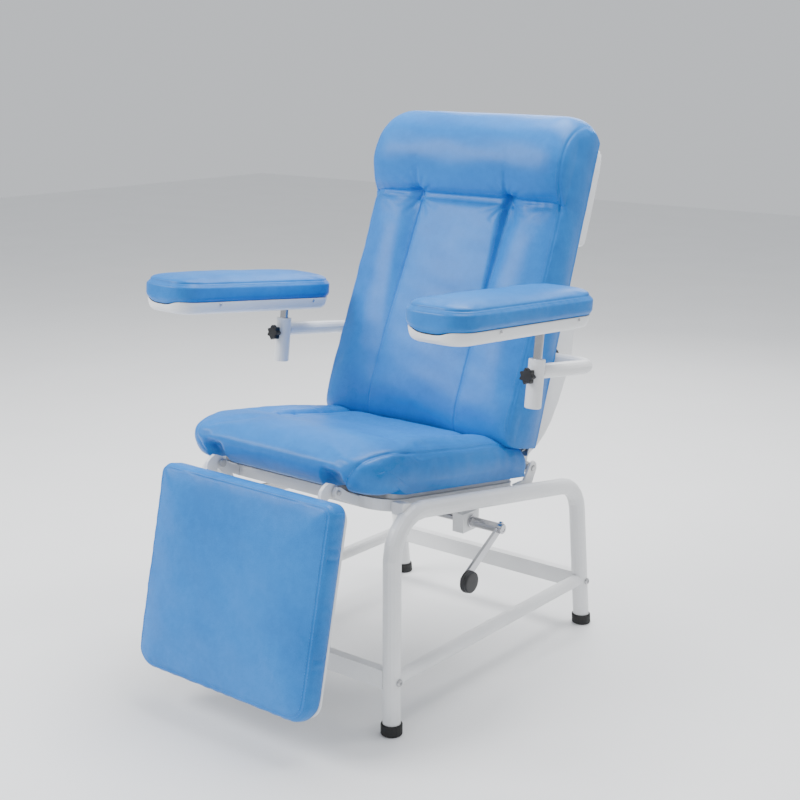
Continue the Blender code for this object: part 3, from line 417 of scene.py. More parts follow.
def leather(name, dark, mid, light, grain=1.0, rough=(0.31, 0.44)):
    m, t, b = tree(name)
    co = obj_coords(t)
    big = add(t, "ShaderNodeTexNoise", Scale=5.0, Detail=3.0, Roughness=0.5)
    fine = add(t, "ShaderNodeTexNoise", Scale=420.0, Detail=4.0, Roughness=0.6)
    cell = add(t, "ShaderNodeTexVoronoi", Scale=760.0)
    cell.feature = "DISTANCE_TO_EDGE"
    mott = add(t, "ShaderNodeTexNoise", Scale=60.0, Detail=5.0, Roughness=0.6)
    for n in (big, fine, cell, mott):
        t.links.new(co, n.inputs["Vector"])
    mix = add(t, "ShaderNodeMath", operation="MULTIPLY_ADD")
    t.links.new(mott.outputs["Fac"], mix.inputs[0])
    mix.inputs[1].default_value = 0.35
    sc = add(t, "ShaderNodeMath", operation="MULTIPLY")
    t.links.new(big.outputs["Fac"], sc.inputs[0])
    sc.inputs[1].default_value = 0.65
    t.links.new(sc.outputs[0], mix.inputs[2])
    r = ramp(t, mix.outputs[0], [(0.36, dark), (0.64, light), (0.5, mid)])
    # painted shade: creases between the grain cells are multiplied a touch darker
    edge = add(t, "ShaderNodeMapRange")
    t.links.new(cell.outputs["Distance"], edge.inputs["Value"])
    edge.inputs["From Max"].default_value = 0.10
    edge.inputs["To Min"].default_value = 0.74
    mul = add(t, "ShaderNodeMix", data_type="RGBA", blend_type="MULTIPLY")
    mul.inputs[0].default_value = 1.0
    t.links.new(r.outputs[0], mul.inputs[6])
    comb = add(t, "ShaderNodeCombineColor")
    for i in range(3):
        t.links.new(edge.outputs[0], comb.inputs[i])
    t.links.new(comb.outputs[0], mul.inputs[7])
    t.links.new(mul.outputs[2], b.inputs["Base Color"])
    rough_from(t, b, fine.outputs["Fac"], *rough)
    bump_from(t, b, [(cell.outputs["Distance"], 0.30 * grain, 0.0006), (fine.outputs["Fac"], 0.22 * grain, 0.0004),
                     (mott.outputs["Fac"], 0.10, 0.0012)])
    b.inputs["Specular IOR Level"].default_value = 0.24
    return m


def painted(name, rgb, rough=(0.28, 0.40), peel=0.10, scale=260.0, spec=0.5):
    """Powder coat or moulded plastic with a fine orange peel and faint dust tone."""
    m, t, b = tree(name)
    co = obj_coords(t)
    peel_n = add(t, "ShaderNodeTexNoise", Scale=scale, Detail=3.0, Roughness=0.5)
    tone = add(t, "ShaderNodeTexNoise", Scale=7.0, Detail=4.0, Roughness=0.55)
    speck = add(t, "ShaderNodeTexNoise", Scale=1400.0, Detail=2.0, Roughness=0.6)
    for n in (peel_n, tone, speck):
        t.links.new(co, n.inputs["Vector"])
    lo = tuple(c * 0.94 for c in rgb)
    hi = tuple(min(1, c * 1.03) for c in rgb)
    r = ramp(t, tone.outputs["Fac"], [(0.32, lo), (0.68, hi)])
    t.links.new(r.outputs[0], b.inputs["Base Color"])
    rough_from(t, b, peel_n.outputs["Fac"], *rough)
    bump_from(t, b, [(peel_n.outputs["Fac"], peel, 0.0008), (speck.outputs["Fac"], peel * 0.5, 0.0003)])
    b.inputs["Specular IOR Level"].default_value = spec
    return m


def metal(name, rgb, rough, grain_axis=2, strength=0.05, brushed=False):
    m, t, b = tree(name)
    co = obj_coords(t)
    mp = add(t, "ShaderNodeMapping")
    t.links.new(co, mp.inputs["Vector"])
    s = [600.0, 600.0, 600.0] if brushed else [90.0, 90.0, 90.0]
    s[grain_axis] *= 0.05 if brushed else 1.0
    mp.inputs["Scale"].default_value = s
    n = add(t, "ShaderNodeTexNoise", Scale=1.0, Detail=5.0, Roughness=0.65)
    t.links.new(mp.outputs[0], n.inputs["Vector"])
    sm = add(t, "ShaderNodeTexNoise", Scale=26.0, Detail=4.0, Roughness=0.6)
    t.links.new(co, sm.inputs["Vector"])
    r = ramp(t, sm.outputs["Fac"], [(0.3, tuple(c * 0.90 for c in rgb)), (0.7, rgb)])
    t.links.new(r.outputs[0], b.inputs["Base Color"])
    rough_from(t, b, n.outputs["Fac"], *rough)
    bump_from(t, b, [(n.outputs["Fac"], strength, 0.0003)])
    b.inputs["Metallic"].default_value = 1.0
    return m


def rubber(name, rgb, rough=(0.55, 0.75), scale=900.0, k=0.25):
    m, t, b = tree(name)
    co = obj_coords(t)
    v = add(t, "ShaderNodeTexVoronoi", Scale=scale)
    d = add(t, "ShaderNodeTexNoise", Scale=35.0, Detail=5.0, Roughness=0.6)
    for n in (v, d):
        t.links.new(co, n.inputs["Vector"])
    r = ramp(t, d.outputs["Fac"], [(0.35, rgb), (0.75, tuple(c * 1.9 + 0.004 for c in rgb))])
    t.links.new(r.outputs[0], b.inputs["Base Color"])
    rough_from(t, b, d.outputs["Fac"], *rough)
    bump_from(t, b, [(v.outputs["Distance"], k, 0.0004)])
    b.inputs["Specular IOR Level"].default_value = 0.4
    return m


def board(name):
    m, t, b = tree(name)
    co = obj_coords(t)
    mp = add(t, "ShaderNodeMapping")
    mp.inputs["Scale"].default_value = (60.0, 6.0, 60.0)
    t.links.new(co, mp.inputs["Vector"])
    n = add(t, "ShaderNodeTexNoise", Scale=1.0, Detail=7.0, Roughness=0.6, Distortion=0.6)
    t.links.new(mp.outputs[0], n.inputs["Vector"])
    ply = add(t, "ShaderNodeTexWave", Scale=150.0, Distortion=0.4)
    ply.bands_direction = "Z"
    t.links.new(co, ply.inputs["Vector"])
    r = ramp(t, n.outputs["Fac"], [(0.3, (0.145, 0.142, 0.14)), (0.7, (0.26, 0.255, 0.25))])
    t.links.new(r.outputs[0], b.inputs["Base Color"])
    # painted highlight: the board's side faces (|x| past 0.226 to 0.236 m, below z 0.60 m) are mixed to pale grey as if
    # lit
    xyz = add(t, "ShaderNodeSeparateXYZ")
    t.links.new(co, xyz.inputs[0])
    ab = add(t, "ShaderNodeMath", operation="ABSOLUTE")
    t.links.new(xyz.outputs["X"], ab.inputs[0])
    edge = add(t, "ShaderNodeMapRange")
    t.links.new(ab.outputs[0], edge.inputs["Value"])
    edge.inputs["From Min"].default_value, edge.inputs["From Max"].default_value = 0.226, 0.236
    low = add(t, "ShaderNodeMath", operation="LESS_THAN")
    t.links.new(xyz.outputs["Z"], low.inputs[0])
    low.inputs[1].default_value = 0.60
    both = add(t, "ShaderNodeMath", operation="MULTIPLY")
    t.links.new(edge.outputs[0], both.inputs[0])
    t.links.new(low.outputs[0], both.inputs[1])
    side_highlight_tone = ramp(t, n.outputs["Fac"], [(0.3, (0.60, 0.60, 0.60)), (0.7, (0.72, 0.72, 0.72))])
    mix = add(t, "ShaderNodeMix", data_type="RGBA")
    t.links.new(both.outputs[0], mix.inputs[0])
    t.links.new(r.outputs[0], mix.inputs[6])
    t.links.new(side_highlight_tone.outputs[0], mix.inputs[7])
    t.links.new(mix.outputs[2], b.inputs["Base Color"])
    rough_from(t, b, n.outputs["Fac"], 0.55, 0.8)
    bump_from(t, b, [(n.outputs["Fac"], 0.3, 0.0006), (ply.outputs["Fac"], 0.08, 0.0004)])
    return m


BLUE_D, BLUE_M, BLUE_L = (0.009, 0.160, 0.510), (0.013, 0.186, 0.575), (0.019, 0.212, 0.630)
M = {
    "blue_upholstery": leather("pu_leather_blue", BLUE_D, BLUE_M, BLUE_L),
    "thread": rubber("thread_blue", (0.030, 0.150, 0.42), (0.6, 0.8), 2600.0, 0.3),
    "white_paint": painted("powder_coat_white", (0.80, 0.805, 0.81)),
    "white_abs": painted("moulded_abs_white", (0.79, 0.80, 0.81), (0.34, 0.48), 0.06, 520.0, 0.45),
    "black_rubber": rubber("foot_rubber", (0.012, 0.012, 0.012)),
    "black_plastic": rubber("knob_plastic", (0.010, 0.010, 0.011), (0.34, 0.5), 1500.0, 0.18),
    "chrome_plate": metal("chrome_plate", (0.52, 0.52, 0.54), (0.07, 0.18), strength=0.02),
    "bright_steel": metal("zinc_steel", (0.56, 0.56, 0.57), (0.24, 0.42), brushed=True),
    "steel_chrome_screws": metal("screw_steel", (0.62, 0.62, 0.63), (0.16, 0.3), brushed=True),
    "nut_brass": metal("nut_brass", (0.68, 0.50, 0.24), (0.22, 0.4), brushed=True),
    "seat_plywood": board("grey_board"),
}
SLOT = {s["node"]: s["material_slot"] for s in frame["record"]["subparts"]} if "subparts" in frame["record"] else {}


def paint_cad():
    for name, ob in frame["nodes"].items():
        key = SLOT.get(name, "white_paint")
        ob.data.materials.clear()
        ob.data.materials.append(M[key])
        for p in ob.data.polygons:
            p.material_index = 0


def dress(ob, key, body):
    ob.data.materials.clear()
    ob.data.materials.append(M[key])
    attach(ob, body)
    return ob


# ------------------------------------------------------------ padded pieces
def columns(half):
    return [-h for h in half[::-1] if h > 0] + list(half)


def path_at(path, n=600):
    p = curve_through(path, n)
    L = np.r_[0, np.cumsum(np.linalg.norm(np.diff(p, axis=0), axis=1))]
    return p, L


def dist_poly(q, poly):
    """Distance of each point to a 3-D polyline."""
    best = np.full(len(q), 1e9)
    p = np.asarray(poly, float)
    for a, b in zip(p[:-1], p[1:]):
        ab = b - a
        t = np.clip(((q - a) @ ab) / max(1e-9, ab @ ab), 0, 1)
        best = np.minimum(best, np.linalg.norm(q - a - t[:, None] * ab, axis=1))
    return best


def loose(q, seed, amp, scale):
    """Gentle undulation of a cover that is not stretched evenly."""
    r = np.random.default_rng(seed)
    out = np.zeros(len(q))
    for k in range(9):
        v = r.normal(size=3)
        v /= np.linalg.norm(v)
        out += sin_arr(q @ v * (2 * pi / (scale * r.uniform(0.6, 1.7))) + r.uniform(0, 6.28))
    return out * amp / 3.0


def sin_arr(x):
    return np.sin(x)


def finish_soft(ob, place, field, key="blue_upholstery", levels=2):
    subdivide(ob, levels)
    outward(ob)
    q, n = coords(ob), normals(ob)
    set_coords(ob, q + n * field(q, n)[:, None])
    if "arm_pad" in ob.name:
        arm_droop(ob)
    set_coords(ob, place(coords(ob)))
    outward(ob)
    smooth(ob)
    return ob


def inflate(ob, pin, pressure, cap):
    swell(ob, pin, pressure, cap)


# ---- back cushion
BACK_FRONT = [(0, 112), (14, 128), (47, 137), (120, 134), (220, 127), (330, 119), (440, 113), (522, 110), (545, 117),
              (575, 135), (612, 147), (652, 149), (694, 140), (727, 117), (747, 86), (755, 50)]
BST = [(0, 0), (140, 0), (215, 1), (240, 3), (255, 7), (264, 12), (269, 18), (272, 27)]
HEAD = 539.0
CH_X = 125.0


def back_shape():
    P2, L = path_at(BACK_FRONT)
    sfr = P2[:, 0]
    want = list(np.arange(0, 500, 13.0)) + [505, 513, 520, 526, 531, 535, 538, 541, 545, 550, 556, 563, 571, 580, 590]
    Ls = [float(np.interp(s, sfr, L)) for s in want]
    Ls += list(np.linspace(Ls[-1], L[-1], 18)[1:])
    us = columns([0, 15, 30, 45, 60, 74, 86, 96, 104, 110, 115, 119, 122, 125, 128, 131, 135, 140, 147, 156, 167, 179, 191, 203,
                  214, 224, 233, 241, 248, 254, 259, 263, 266.5, 269.5, 271.3, 272])

    def f(u, v, w):
        s = np.interp(v, L, P2[:, 0])
        d = np.interp(v, L, P2[:, 1])
        ax = np.abs(u)
        ins = smooth_tab(BST, ax)
        R = 62.0
        e = np.clip(ax - (275 - R), 0, R)
        drop = R - np.sqrt(np.maximum(0, R * R - e * e))
        dd = d - ins * np.clip((d - 50) / 40, 0, 1)
        ss = s - drop * 0.75 * np.clip((s - 600) / 110, 0, 1)
        ss = ss - 7.0 * (1 - sstep(s, 0, 60)) * sstep(ax, 40, 150) * sstep(d, 60, 110)
        rs = np.clip(s, 3.0, 742.0) - drop * 0.75 * np.clip((s - 600) / 110, 0, 1)
        rd = 0.4 + np.clip(ax - 262, 0, 20) * 0.4
        ww = w ** 1.0
        top = np.clip((s - 735) / 20, 0, 1) * 5 * np.sin(pi * w)
        return np.stack([u, rs + (ss - rs) * ww + top, rd + (dd - rd) * ww], -1)
    ob = lattice("back_cushion_cover", us, Ls, [0, .10, .24, .40, .56, .72, .86, .95, 1], f)
    q = coords(ob)
    x, s, d = q.T
    dd = smooth_tab(BACK_FRONT[:-1], np.clip(s, 0, 746))
    pin = np.where((d < 18), 1.0, 0.0)
    pin = np.maximum(pin, np.where((np.abs(np.abs(x) - CH_X) < 2.5) & (s < 545) & (d > 60), 0.75, 0))
    pin = np.maximum(pin, np.where((np.abs(s - HEAD) < 3) & (d > 60), 0.75, 0))
    pin = np.maximum(pin, np.where((np.abs(np.abs(x) - 266.5) < 1.2) & (d > 40), 0.5, 0))
    inflate(ob, pin, BACK_PRESSURE, 7.0)
    return ob


BACK_PRESSURE = 1.2


def back_field(q, n):
    x, s, d = q.T
    ax = np.abs(x)
    fr = sstep(n[:, 2], 0.15, 0.6)
    side = sstep(np.abs(n[:, 0]), 0.75, 0.97)
    deep = smooth_tab([(0, 0.3), (150, 0.5), (230, 1.6), (290, 4.2), (350, 8.0), (420, 11.5), (490, 14.5), (530, 16), (543, 13),
                       (560, 6), (590, 2.0), (640, 0.3), (760, 0)], s)
    wide = smooth_tab([(0, 7), (230, 9), (330, 13), (430, 18), (520, 23), (545, 18), (600, 9), (760, 8)], s)
    below = 1 - sstep(s, HEAD, HEAD + 10)
    dx = ax - CH_X
    g = deep * np.exp(-(dx / np.where(dx > 0, wide * 1.35, wide * 0.42)) ** 2) * (1 - 0.55 * sstep(s, HEAD, HEAD + 12)) + np.interp(s, [0, 240, 380, 540], [0.9, 1.0, 2.0, 2.3]) * below * np.exp(-(dx / 2.1) ** 2)
    g += 7.0 * np.exp(-((s - HEAD) / 13.0) ** 2) + 2.6 * np.exp(-((s - HEAD) / 2.6) ** 2)
    # gathers running out of the head seam and the deep channels
    ph = 1.7 * np.sin(x / 37.0) + 0.9 * np.sin(x / 17.0 + 1.0)
    g += 0.85 * (0.5 + 0.5 * np.sin(x / 4.6 + ph)) * np.exp(-np.abs(s - HEAD) / 15.0)
    ph2 = 1.5 * np.sin(s / 41.0 + np.sign(x)) + np.sin(s / 19.0)
    g += 0.075 * deep * (0.5 + 0.5 * np.sin(s / 5.2 + ph2)) * np.exp(-np.abs(ax - CH_X) / 15.0) * below
    for sg in (-1, 1):
        jx = sg * CH_X
        for p0, p1, k, w in (((jx, 543), (jx + 2 * sg, 600), 3.6, 8), ((jx - 4, 542), (jx - 26, 590), 2.0, 6), ((jx + 4, 542), (jx + 28, 586), 2.2, 6),
                             ((jx - 12, 541), (jx - 60, 572), 1.5, 6), ((jx + 12, 541), (jx + 62, 570), 1.5, 6),
                             ((jx - 5, 534), (jx - 34, 488), 3.6, 6), ((jx + 5, 534), (jx + 36, 486), 3.6, 6),
                             ((jx - 9, 528), (jx - 66, 508), 2.2, 6), ((jx + 9, 528), (jx + 64, 506), 2.2, 6)):
            g += wrinkle(x, s, p0, p1, k, w)
    out = -g * fr
    # stuffed swell between the seams
    full = sstep(s, 20, 110) * (1 - sstep(s, 440, 530))
    out += fr * full * (4.0 * bump(ax, 195, 42) + 3.0 * bump(x, 0, 62))
    out += fr * (2.0 * bump(s, 640, 60) * (1 - sstep(ax, 215, 262)))
    # front to side seam and the side panel
    out -= 2.0 * np.exp(-((ax - 264.5) / 2.6) ** 2) * fr * sstep(s, 6, 40)
    hh = np.clip((d - 10) / 85, 0, 1)
    out += side * 3.2 * np.sin(pi * hh)
    out -= side * 0.9 * (0.5 + 0.5 * np.sin(s / 7.0 + 1.6 * np.sin(s / 31.0))) * np.exp(-np.abs(d - 92) / 14)
    out += loose(q, 3, 0.7, 90) * np.maximum(fr, side)
    # the rear face stays flat against the panel
    return np.where(d < 3, 0, out)


# ---- seat cushion
SEAT_SIDE = [(22, 503), (6, 511), (-18, 530), (-32, 545), (-48, 554), (-58, 564), (-51, 580), (-28, 590), (10, 596), (60, 593),
             (172, 575), (300, 552), (396, 534), (418, 525), (470, 507.5), (498, 495), (513, 473), (516, 446), (508, 428.5)]
SST = [(0, 0), (150, 0), (196, 0), (222, 0.5), (240, 2), (252, 6), (259, 13), (261, 22)]


def seat_shape():
    P2, L = path_at(SEAT_SIDE, 700)
    T = np.gradient(P2, axis=0)
    T /= np.linalg.norm(T, axis=1)[:, None]
    inward = np.stack([T[:, 1], -T[:, 0]], -1)
    c = P2.mean(0)
    if np.mean(((c - P2) * inward).sum(1)) < 0:
        inward = -inward
    nb = int(np.argmin(P2[:, 0]))
    Lb = L[nb]
    A2 = curve_through([(22, 503.5), (2, 505), (-20, 508.5), (-38, 517), (-49, 532), (-56, 549), tuple(P2[nb])], 120)
    AL = np.linspace(0, Lb, len(A2))
    Ls = list(np.linspace(0, 150, 20)) + list(np.linspace(150, L[-1] - 150, 44)[1:]) + list(np.linspace(L[-1] - 150, L[-1], 17)[1:])
    us = columns([0, 18, 36, 54, 72, 90, 106, 118, 127, 134, 139, 143, 147, 152, 157, 162, 166.5, 171, 175, 180, 184, 188, 194, 202, 210, 219, 227,
                  234, 240, 245.5, 250, 253.5, 256.5, 259, 260.5, 261])

    def f(u, v, w):
        y = np.interp(v, L, P2[:, 0])
        z = np.interp(v, L, P2[:, 1])
        iy = np.interp(v, L, inward[:, 0])
        iz = np.interp(v, L, inward[:, 1])
        ax = np.abs(u)
        ins = smooth_tab(SST, ax)
        k = (1 - sstep(ax, 134, 149) * (1 - sstep(ax, 179, 196))) * (v < Lb)
        y = y + k * (np.interp(v, AL, A2[:, 0]) - y)
        z = z + k * (np.interp(v, AL, A2[:, 1]) - z)
        y, z = y + iy * ins, z + iz * ins
        R = 72.0
        e = np.clip(ax - (265 - R), 0, R)
        off = R - np.sqrt(np.maximum(0, R * R - e * e))
        wg = np.clip((120 - y) / 150, 0, 1)
        yy = y + off * wg
        zz = z - 0.153 * (yy - y)
        zz = np.maximum(zz, 505 - 0.153 * yy + 0.4)
        t = v / L[-1]
        yb = 24 + off * 0.9 + (505 - 24 - off) * np.clip((v - 60) / (L[-1] - 130), 0, 1)
        zb = 505 - 0.153 * yb + 0.4
        return np.stack([u, yb + (yy - yb) * w, zb + (zz - zb) * w], -1)
    ob = lattice("seat_cushion_cover", us, Ls, [0, .12, .28, .46, .64, .8, .92, 1], f)
    q = coords(ob)
    x, y, z = q.T
    low = z < 505 - 0.153 * y + 9
    pin = np.where(low, 1.0, 0.0)
    pin = np.maximum(pin, np.where((y < 20) & (z < 556), 1.0, 0))
    pin = np.maximum(pin, np.where((np.abs(np.abs(x) - 171) < 2) & (y > 120) & (z > 505), 0.5, 0))
    pin = np.maximum(pin, np.where(y > 440, 1.0, 0))
    inflate(ob, pin, SEAT_PRESSURE, 6.0)
    return ob


SEAT_PRESSURE = 1.2
CORNER = [(254, 100, 579), (252, 72, 582), (244, 24, 589.5), (233, -12, 587), (226, -44, 576), (207, -52, 547), (197, -46, 527),
          (192, -28, 511)]


def seat_corner(sg):
    return [(sg * x, y, z) for x, y, z in CORNER]


def seat_field(q, n):
    x, y, z = q.T
    ax = np.abs(x)
    up = sstep(n[:, 2], 0.2, 0.7)
    side = sstep(np.abs(n[:, 0]), 0.75, 0.97)
    base = 505 - 0.153 * y
    hgt = sstep(z - base, 6, 30)
    front = sstep(-n[:, 1], 0.2, 0.7)
    out = np.zeros(len(q))
    # sunk middle between two side rolls
    mid = (1 - sstep(ax, 146, 176)) * sstep(y, 60, 200) * (1 - 0.75 * sstep(y, 290, 380)) * up
    out -= 9.5 * mid
    out += 3.0 * up * bump(y, 396, 24) * (1 - sstep(ax, 130, 165))
    out += up * sstep(y, 60, 170) * 4.5 * bump(ax, 213, 30)
    crease = sstep(y, 100, 220)
    out -= up * crease * ((4.5 + 3.0 * sstep(y, 300, 400)) * np.exp(-((ax - 171) / 9.0) ** 2) + 1.9 * np.exp(-((ax - 171) / 2.4) ** 2))
    fill = (1 - sstep(ax, 150, 245)) * np.exp(-((y - 10) / 70.0) ** 2) * up
    out += 2.4 * fill
    for sg in (-1, 1):
        dd = dist_poly(q, seat_corner(sg))
        out -= 2.8 * np.exp(-(dd / 6.5) ** 2) + 1.6 * np.exp(-(dd / 2.2) ** 2)
        for p0, p1, k, w in (((sg * 171, 210), (sg * 120, 150), 3.2, 9), ((sg * 171, 160), (sg * 100, 96), 2.6, 9),
                             ((sg * 176, 300), (sg * 225, 262), 2.0, 7), ((sg * 176, 360), (sg * 228, 330), 2.0, 7)):
            out -= wrinkle(x, y, p0, p1, k, w) * up
    # top to side seam
    out -= 1.8 * np.exp(-((ax - 254) / 2.5) ** 2) * up * sstep(y, 30, 70) * (1 - sstep(y, 420, 460))
    hh = np.clip((z - base - 4) / 60, 0, 1)
    out += side * 3.4 * np.sin(pi * hh)
    out -= side * 0.8 * (0.5 + 0.5 * np.sin(y / 7.5 + 1.4 * np.sin(y / 33.0))) * hh
    # light puckers on the front roll near the corner seams
    out -= front * 0.9 * (0.5 + 0.5 * np.sin(z / 3.4 + x / 9.0)) * bump(ax, 200, 26)
    out += loose(q, 5, 0.8, 95) * np.maximum(np.maximum(up, side), front)
    keep = hgt * sstep(z - base, 2, 14)
    return np.where((y < 30) & (z < 530) & (ax < 190), np.minimum(out, 0) * keep, out * keep)


# ---- flat pads with rounded corners
def rounded_pad(name, hx, hy, r, sides, xs, ys, ws, warp=None):
    """sides: (height, inset) from the bottom upward; the last ones close over the face."""
    tab = np.array(sides, float)
    k0 = int(np.argmin(tab[:, 1][: len(tab)]))
    top_i = max(i for i in range(len(tab)) if tab[i, 1] <= tab[:, 1].min() + 1e-6)
    wall = tab[: top_i + 1]
    face = tab[top_i:]

    def f(u, v, w):
        x, y = u * hx, v * hy
        rr = np.where(y < 0, r[0], r[1]) * 1.0
        cx, cy = hx - rr, hy - rr
        a = np.clip((np.abs(x) - cx) / rr, 0, 1)
        b = np.clip((np.abs(y) - cy) / rr, 0, 1)
        both = (a > 0) & (b > 0)
        a2 = np.where(both, a * np.sqrt(1 - b * b / 2), a)
        b2 = np.where(both, b * np.sqrt(1 - a * a / 2), b)
        x = np.where(a > 0, np.sign(x) * (cx + rr * a2), x)
        y = np.where(b > 0, np.sign(y) * (cy + rr * b2), y)
        rad = np.hypot(a2, b2)
        e = np.where(both, rr * (1 - rad), np.minimum(np.where(a > 0, rr * (1 - a2), hx - np.abs(x)), np.where(b > 0, rr * (1 - b2), hy - np.abs(y))))
        e = np.maximum(e, 0)
        htop = smooth_tab(face[:, ::-1], e)
        h = wall[0, 0] + (htop - wall[0, 0]) * w
        hw = wall[0, 0] + (wall[-1, 0] - wall[0, 0]) * w
        onside = e < 1e-6
        ins = np.interp(hw, wall[:, 0], wall[:, 1])
        h = np.where(onside, hw, h)
        # step toward the middle for the undercut of the wall
        L = np.hypot(x, y) + 1e-9
        nx = np.where(a > 0, np.sign(x) * np.maximum(a2, 1e-3), 0)
        ny = np.where(b > 0, np.sign(y) * np.maximum(b2, 1e-3), 0)
        nx = np.where(onside & ~both, np.where(a >= 1 - 1e-6, np.sign(x), 0), nx)
        ny = np.where(onside & ~both, np.where(b >= 1 - 1e-6, np.sign(y), 0), ny)
        m = np.hypot(nx, ny) + 1e-9
        bot = (w == 0) & ~onside
        ins = np.where(onside, ins, 0)
        pull = np.where(bot, wall[0, 1] * np.clip(1 - e / 40, 0, 1), ins)
        use = onside | bot
        sx = 1 - wall[0, 1] / hx
        x = np.where(bot, x * sx, np.where(onside, x - nx / m * ins, x))
        sy = 1 - wall[0, 1] / hy
        y = np.where(bot, y * sy, np.where(onside, y - ny / m * ins, y))
        return np.stack([x, y, h], -1)
    return lattice(name, xs, ys, ws, f)


def edge_list(h, near=(0, 0.8, 2, 4, 7, 11, 16, 23, 32), step=14.0):
    e = [h - n for n in near]
    k = list(np.arange(0, e[-1] - step * 0.4, step))
    half = sorted(k + e)
    return [v / h for v in columns(half)]


def leg_shape():
    ob = rounded_pad("legrest_cover", 236.5, 215.0, (24.0, 44.0), [(0.4, 0.9), (2.5, 0), (32, 0), (40, 3), (45, 10), (48, 22)],
                     edge_list(236.5), edge_list(215.0), [0, .06, .14, .3, .5, .7, .88, 1])
    q = coords(ob)
    e = q[:, 2]
    pin = np.where(q[:, 2] < 6, 1.0, 0.0)
    rim = np.minimum(236.5 - np.abs(q[:, 0]), 215 - np.abs(q[:, 1]))
    pin = np.maximum(pin, np.where((q[:, 2] > 38) & (rim < 9), 0.5, 0))
    inflate(ob, pin, 1.0, 6.0)
    return ob


def leg_field(q, n):
    x, y, h = q.T
    fr = sstep(n[:, 2], 0.25, 0.7)
    hx, hy = 236.5, 215.0
    rr = np.where(y < 0, 24.0, 44.0)
    ex, ey = np.abs(x) - (hx - rr), np.abs(y) - (hy - rr)
    e = rr - np.where((ex > 0) & (ey > 0), np.hypot(ex, ey), np.maximum(ex, ey))
    out = -fr * (1.0 * np.exp(-((e - 9.5) / 2.0) ** 2) + 0.3 * np.exp(-((e - 9.5) / 8.0) ** 2))
    mid = sstep(e, 18, 120)
    out += fr * 5.0 * mid
    side = 1 - sstep(n[:, 2], 0.3, 0.6)
    wall = sstep(h, 2, 9) * side * (1 - sstep(h, 36, 46))
    out += wall * 3.4 * np.sin(pi * np.clip((h + 4) / 42, 0, 1))
    arc = np.where(np.abs(x) > hx - 40, y, x)
    out -= wall * 0.9 * (0.5 + 0.5 * np.sin(arc / 6.0 + 1.7 * np.sin(arc / 29.0)))
    for c in (-120, 96):
        for sg in (-1, 1):
            out -= wall * 2.2 * np.exp(-((y - c - 10 * sg) / 4.5) ** 2) * (np.abs(x) > hx - 20)
    # short gathers inside the face seam
    out -= fr * 0.8 * (0.5 + 0.5 * np.sin(arc / 5.0 + 1.3 * np.sin(arc / 37.0))) * np.exp(-np.abs(e - 10) / 10)
    out += loose(q, 9, 0.7, 110) * fr
    # the upper rear edge stays clear of the seat roll and the hooks
    near = np.exp(-((np.abs(x) - 160) / 18.0) ** 2) * (1 - sstep(y, -205, -170))
    out = out * (1 - near)
    out = np.where(y < -200, np.minimum(out, 0.6), out)
    return out * sstep(h, 1.5, 6)


def legplace(q):
    return legf(np.stack([q[:, 0] * 1.018, 215.0 + np.where(q[:, 1] > 0, q[:, 1] * 1.026, q[:, 1]), q[:, 2]], -1))


def arm_shape(tag):
    ob = rounded_pad("arm_pad_cover_" + tag, 78.0, 237.0, (51.0, 51.0), [(28.4, 3), (32, 0), (60, 0), (68, 3), (76, 11), (80, 24)],
                     edge_list(78.0, (0, 0.8, 2, 4, 7, 11, 16, 23), 9.0), edge_list(237.0, step=13.0), [0, .12, .3, .5, .7, .88, 1])
    q = coords(ob)
    pin = np.where(q[:, 2] < 31, 1.0, 0.0)
    pin = np.maximum(pin, np.where((q[:, 2] > 64) & (q[:, 2] < 72), 0.5, 0))
    inflate(ob, pin, 1.0, 5.0)
    return ob


def arm_field(q, n):
    x, y, h = q.T
    side = 1 - sstep(n[:, 2], 0.55, 0.85)
    up = 1 - side
    out = -(1.3 * np.exp(-((h - 69) / 1.8) ** 2) + 0.3 * np.exp(-((h - 69) / 6.0) ** 2))
    rr = 51.0
    ex, ey = np.abs(x) - (78 - rr), np.abs(y) - (237 - rr)
    e = rr - np.where((ex > 0) & (ey > 0), np.hypot(ex, ey), np.maximum(ex, ey))
    out += up * 3.0 * sstep(e, 10, 60)
    band = sstep(h, 29, 40) * (1 - sstep(h, 58, 66))
    out += band * 2.6
    ang = np.arctan2(y / 1.0, x) * 60 + y
    out -= side * 0.8 * (0.5 + 0.5 * np.sin(ang / 6.0 + 1.4 * np.sin(ang / 31.0))) * np.exp(-np.abs(h - 64) / 8)
    out += loose(q, 21, 0.5, 80) * (up + band)
    return out * sstep(h, 28.8, 33)


def arm_droop(ob):
    """The cover hangs into the dip of the tray rim at the front end."""
    q = coords(ob)
    q[:, 2] -= 7.0 * np.exp(-(q[:, 0] / 38.0) ** 4) * sstep(-q[:, 1], 168, 216) * (1 - sstep(q[:, 2], 28.5, 52))
    set_coords(ob, q)


